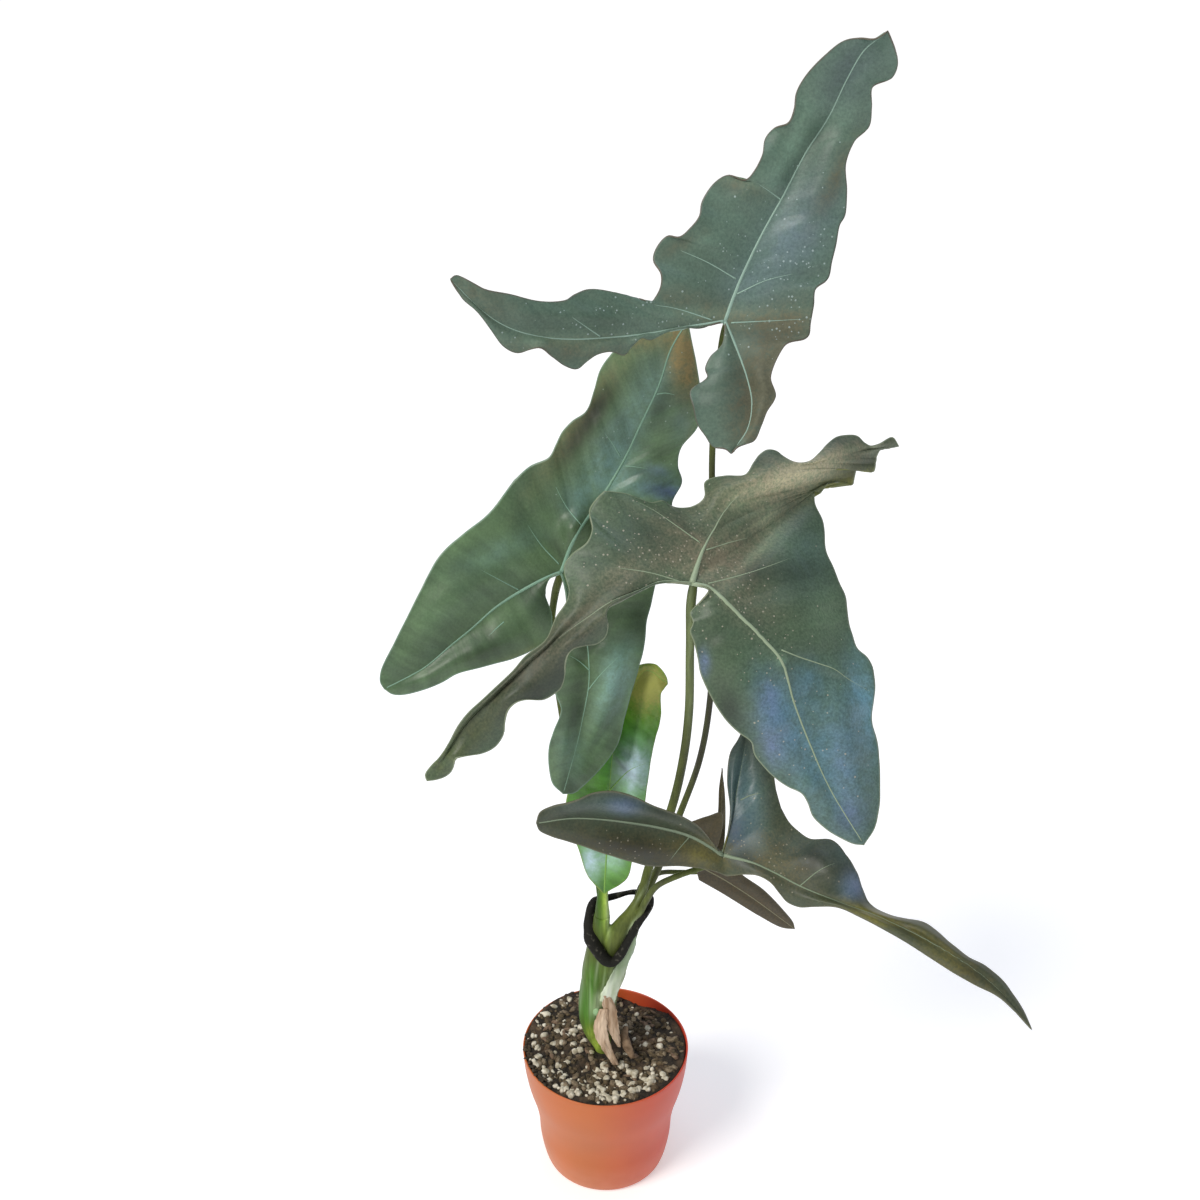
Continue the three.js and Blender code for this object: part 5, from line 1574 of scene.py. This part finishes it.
peat_crumbs = soil_material("peat crumbs", "#211a10", "#76664a")
coir = soil_material("coir lumps", "#51442f", "#a3937a")
bark = grain_material("composted bark", "#5e4a38", "#86705a", 2, 0.85)
perlite = grain_material("expanded perlite", "#e4ddc9", "#a39a82", 3.333, 0.8)
scatter("soil_crumbs", 620, 3, (0.8, 3.0), (1.0, 1.6), 0.8, 1, peat_crumbs, everywhere)
scatter("coir_lumps", 150, 17, (1.5, 3.4), (1.0, 2.0), 0.7, 1, coir, everywhere)
scatter("bark_flakes", 50, 5, (1.8, 3.4), (1.5, 2.6), 0.45, 1, bark, everywhere)
scatter("perlite_grains", 300, 11, (0.9, 2.9), (1.0, 1.5), 0.85, 2, perlite, front_heavy)

# %% [markdown]
# One long strip of reddish bark lies on the soil beside the dry sheath, and some soil was spilt on
# the rim, from the back round to the left, when the plant was potted. The strip could be one more
# flake, but as a flat tube it can bend and be widest in its middle. The spilt soil is made of the
# same uneven grains, in an arc on the rim.

# %% One long strip of bark, and soil on the rim
BARK_STRIP = [[626, 1026, -4], [624, 1036, -9], [627, 1046, -13], [633, 1058, -18]]
BARK_STEPS = 14
BARK_SIDES = 12
BARK_END = 1.2
BARK_SWELL = 2.2
BARK_FLATNESS = 0.6
RIM_CRUMBS = 110
RIM_SOIL_ARC = (95, 228)
RIM_SOIL_RADII = (54.5, 58.6)

strip = evenly_spaced([from_photo(*point) for point in BARK_STRIP], BARK_STEPS)
swells = [math.sin(math.pi * (i + 1) / (BARK_STEPS + 2)) for i in range(BARK_STEPS + 1)]
bm = bmesh.new()
lay_tube(bm, strip, [(BARK_END + BARK_SWELL * swell) * MM for swell in swells], BARK_SIDES, BARK_FLATNESS)
make_piece("bark_strip", bm, [grain_material("reddish bark", "#64503a", "#927a60", 3.333, 0.85)])

draw = random.Random(23)
bm = bmesh.new()
for i in range(RIM_CRUMBS):
    angle = math.radians(draw.uniform(*RIM_SOIL_ARC))
    radius = draw.uniform(*RIM_SOIL_RADII)
    place = (radius * math.cos(angle), radius * math.sin(angle), POT_HEIGHT + draw.uniform(-0.9, 0.6))
    add_grain(bm, draw, place, draw.uniform(0.9, 1.8), draw.uniform(1.0, 1.5), 0.7, 1)
make_piece("rim_crumbs", bm, [soil_material("rim crumbs", "#1b1610", "#544936")])

# %% [markdown]
# The soft tie holds the stalks together. It is a loose loop of black foam rubber, thick at the left
# and thin behind. It could be a bevelled curve, but the tube of the ribs and stalks closes on itself
# as well, and takes a radius at each step. The radii below run with the points of the route.

# %% The tie
TIE_STEPS = 120
TIE_ROUTE = [[595, 901, 4], [590.5, 911, -1], [590, 925, -6], [591.5, 938, -12], [597, 949, -17],
    [606, 960, -20], [613, 962, -21], [620, 955, -20.5], [628, 941, -19], [637, 925, -18], [645, 912, -15],
    [649, 903, -8], [646, 895, 4], [633, 892, 13], [615, 896, 14], [603, 899, 10]]
TIE_RADII = [3.0, 4.4, 5.2, 4.9, 4.0, 3.5, 3.5, 3.1, 3.1, 3.3, 3.8, 3.6, 2.3, 1.8, 2.5, 2.8]
TIE_UNEVENNESS = 0.16
TIE_LUMPS = 4
TIE_SIDES = 20
TIE_FLATNESS = 0.85


def rubber_material():
    # Foamed rubber: its open cells make it matt black, with grey specks of dust. Real cells are
    # finer than 1.4 mm, and are drawn this coarse to show.
    material, tree = new_material("black foam rubber")
    place = add_node(tree, "ShaderNodeTexCoord", {}, {}).outputs["Object"]
    pits = add_node(tree, "ShaderNodeTexNoise", {}, {"Vector": place, "Scale": repeats(1.4286), "Detail": 4})
    colour = mottled(tree, place, 3.846, 2, (0.58, 0.70), linear("#15150f"), linear("#4c4a40"))[0]
    return finish_surface(material, colour, 0.75, pits.outputs["Fac"], 0.6, 0.5,
                          {"Specular IOR Level": 0.25})


loop = evenly_spaced(smooth_curve([from_photo(*point) for point in TIE_ROUTE], closed=True), TIE_STEPS)
tie_widths = smooth_curve([(i, radius, 0) for i, radius in enumerate(TIE_RADII + TIE_RADII[:1])])
thickness = []
for i, place in enumerate(evenly_spaced(tie_widths, TIE_STEPS)):
    turn = 2 * math.pi * i / TIE_STEPS
    uneven = noise.noise(Vector((TIE_LUMPS * math.cos(turn), TIE_LUMPS * math.sin(turn), 2)))
    thickness.append(place.y * (1 + TIE_UNEVENNESS * uneven) * MM)
bm = bmesh.new()
lay_tube(bm, loop, thickness, TIE_SIDES, TIE_FLATNESS, ring=True)
bmesh.ops.recalc_face_normals(bm, faces=bm.faces)
make_piece("tie_loop", bm, [rubber_material()], ["tie"])

# %% [markdown]
# The stem is made of the feet of all the stalks, each wrapped round the next. Rings of the old stem
# and a tube for each foot are laid through one another, and a voxel remesh fuses them into one living
# skin, with soft hollows where two feet meet. The tubes could also be joined by Booleans, but those
# would leave sharp seams. The free edges of the sheaths wind up the stem as low ridges.

# %% The stem
STEM_OUTLINE = [(58, -1, 6), (90, -1, 5.6), (97, -2, 5.8), (106, -3.6, 8), (115, -5.2, 10.6),
    (131, -6.3, 13.2), (150, -5.2, 13.8), (170, -0.6, 15), (184, 1.6, 13.5)]
STEM_DEPTH = 0.9
STEM_ROWS = 60
STEM_SIDES = 48
FOOT_STEPS = 40
SKIN_GRAIN = 0.7
SKIN_ROUNDS = 5
SHEATH_EDGES = 3
EDGE_HEIGHT = 0.9
EDGE_CLIMB = 85
EDGE_SHARE = 0.9
EDGE_MIDDLE = -3
EDGES_BEGIN = (98, 112)
EDGES_END = (165, 185)


def fuse(bm, grain):
    """Joins closed shapes that overlap into one skin of small even faces."""
    lump = place_object("lump", mesh_from("lump", bm))
    skin = lump.modifiers.new("one skin", "REMESH")
    skin.mode = "VOXEL"
    skin.voxel_size = grain * MM
    apply_modifiers(lump)
    fused = bmesh.new()
    fused.from_mesh(lump.data)
    bpy.data.objects.remove(lump)
    return fused


outline = evenly_spaced(smooth_curve(STEM_OUTLINE), STEM_ROWS)
lump = bmesh.new()
for corner, row, share in grid_corners(lump, STEM_ROWS, STEM_SIDES):
    height, middle, half_width = outline[row]
    angle = 2 * math.pi * share
    corner.co = Vector((middle + half_width * math.cos(angle),
                        STEM_Y + half_width * STEM_DEPTH * math.sin(angle), height)) * MM
close_tube(lump)
bmesh.ops.recalc_face_normals(lump, faces=lump.faces)
for stalk in STALKS.values():
    foot = evenly_spaced(smooth_curve(stalk["foot"]), FOOT_STEPS)
    path = [from_photo(*point[:3]) for point in foot]
    add_cord(lump, path, [point[3] * MM for point in foot], STALK_SIDES)
crown = fuse(lump, SKIN_GRAIN)
relax(crown, crown.verts, SKIN_ROUNDS)
crown.normal_update()
pushes = []
for corner in crown.verts:
    height = corner.co.z / MM
    turn = math.atan2(corner.co.y / MM - STEM_Y, corner.co.x / MM - EDGE_MIDDLE) / (2 * math.pi)
    climb = (turn * SHEATH_EDGES + height / EDGE_CLIMB) % 1.0
    wrap = smoothstep(climb, 0, EDGE_SHARE) - smoothstep(climb, EDGE_SHARE, 1)
    grown = smoothstep(height, *EDGES_BEGIN) * (1 - smoothstep(height, *EDGES_END))
    ridge = patch_sum(STEM_RELIEF, *to_photo(corner.co))
    pushes.append(corner.normal * (EDGE_HEIGHT * (wrap - 0.5) * grown + ridge) * MM)
push_out(crown, pushes)
paint_stem(crown)
crown_skin = BVHTree.FromBMesh(crown)
make_piece("stem_skin", crown, [living_stem], ["stem"])

# %% [markdown]
# A small pale bud sits low on the front of the stem, where a root or a shoot may grow out. It could
# be pushed out of the stem's own skin, but a ball of its own has a finer mesh and a cleaner edge. It
# is flattened, and it sits where the line of sight through its pixel meets the skin.

# %% The bud
BUD_RADIUS = 2.8
BUD_SHAPE = (0.9, 0.55, 1.25, 1)
BUD_PIXEL = (596.5, 1012)


def on_crown(column, row):
    """The place where the line of sight through a pixel meets the stem, or nothing."""
    towards = (from_photo(column, row, 0) - EYE).normalized()
    return crown_skin.ray_cast(EYE, towards)[0]


def soft_material(name, colour, other, size, roughness, top=None):
    """Thin fibrous skin of small parts. A top is a colour and the heights between which it sets in."""
    material, tree = new_material(name)
    place = add_node(tree, "ShaderNodeTexCoord", {}, {}).outputs["Object"]
    drawn = add_node(tree, "ShaderNodeMapping", {}, {"Vector": place, "Scale": (1, 1, 0.12)})
    mixed, mottle = mottled(tree, drawn.outputs[0], size, 5, (0.36, 0.62), linear(colour), linear(other))
    if top:
        shade, low, high = top
        axes = add_node(tree, "ShaderNodeSeparateXYZ", {}, {0: place})
        rise = add_node(tree, "ShaderNodeMapRange", {},
                        {"Value": axes.outputs["Z"], "From Min": low, "From Max": high, "To Max": 0.85})
        mixed = add_node(tree, "ShaderNodeMix", {"data_type": "RGBA"},
                         {0: rise.outputs[0], 6: mixed, 7: linear(shade)}).outputs[2]
    return finish_surface(material, mixed, roughness, mottle, 0.6, 0.4, {})


bm = bmesh.new()
bud_shape = Matrix.Translation(on_crown(*BUD_PIXEL)) @ Matrix.Diagonal(BUD_SHAPE)
bmesh.ops.create_uvsphere(bm, u_segments=24, v_segments=16, radius=BUD_RADIUS * MM, matrix=bud_shape)
make_piece("stem_bud", bm, [soft_material("pale bud", "#86ad78", "#a3c293", 3.333, 0.3)])

# %% [markdown]
# Two sheaths stand out from the others. The pale one is fresh and nearly white. The dry one is an old
# sheath that has split into two papery prongs, and the longer of them lies out over the soil. Each is
# a grid between two edges that are drawn over the photograph, and it lies close on the stem: where
# the line of sight meets the stem, the sheath is a little in front of it. A modifier makes it thick.

# %% The pale and the dry sheath
SHEATH_THICKNESS = 0.6
SHEATH_ROWS = 60
SHEATH_COLUMNS = 18
SHEATH_LIFT = 0.7
SHEATH_ARCH = 0.8
TORN = 0.10
PALE_SHEATH = ([[634, 937, -6], [627, 950, -10], [617, 964, -14], [609, 979, -15], [602, 992, -15],
                [600, 1001, -14.5]],
               [[636, 936, -5], [635, 947, -6], [628, 963, -8], [622, 978, -9], [618, 991, -10],
                [614, 1004, -12]])
DRY_PRONG = ([[602, 995, -14], [603, 1010, -15], [606, 1024, -15], [611, 1036, -15], [618, 1047, -14]],
             [[611, 997, -13], [616, 1008, -13], [618, 1022, -14], [620, 1036, -14], [620.5, 1047, -14]])
LONG_PRONG = ([[600, 1009, -15], [594.5, 1022, -16], [594.5, 1034, -17], [601, 1047, -18],
[613, 1065, -20]],
              [[609, 1009, -15], [607, 1022, -16], [608, 1034, -17], [611, 1046, -18], [619, 1065, -20]])


def lay_sheath(bm, edges, crinkle, seed):
    near, far = [evenly_spaced(smooth_curve(edge), SHEATH_ROWS) for edge in edges]
    for corner, row, across in grid_corners(bm, SHEATH_ROWS, SHEATH_COLUMNS):
        ragged = noise.noise(Vector((row / 4, 4 * round(across), seed)))
        torn = TORN * ragged * abs(2 * across - 1) ** 3
        place = near[row].lerp(far[row], across + torn)
        met = on_crown(place.x, place.y)
        depth = min(place.z, met.y / MM - SHEATH_LIFT) if met else place.z
        wide = noise.noise(Vector((across * 3.2, row / 16, seed)))
        narrow = noise.noise(Vector((across * 7, row / 9, seed + 3)))
        depth -= crinkle * abs(wide + 0.5 * narrow) + SHEATH_ARCH * math.sin(math.pi * across)
        corner.co = from_photo(place.x, place.y, depth)
    bmesh.ops.recalc_face_normals(bm, faces=bm.faces)


pale_top = ("#6f8a5c", from_photo(606, 992, -14).z, from_photo(624, 960, -10).z)
pale_skin = soft_material("fresh pale sheath", "#c3d1ae", "#e6eeda", 5.882, 0.5, pale_top)
bm = bmesh.new()
lay_sheath(bm, PALE_SHEATH, 0.5, 1)
thicken(make_piece("pale_sheath", bm, [pale_skin], ["sheath_pale"]), SHEATH_THICKNESS)

dry_skin = soft_material("dry papery sheath", "#9c8064", "#dcc4a9", 4.1667, 0.8)
bm = bmesh.new()
lay_sheath(bm, DRY_PRONG, 1.0, 2)
lay_sheath(bm, LONG_PRONG, 1.0, 7)
thicken(make_piece("dry_sheath", bm, [dry_skin], ["sheath_dry"]), SHEATH_THICKNESS)
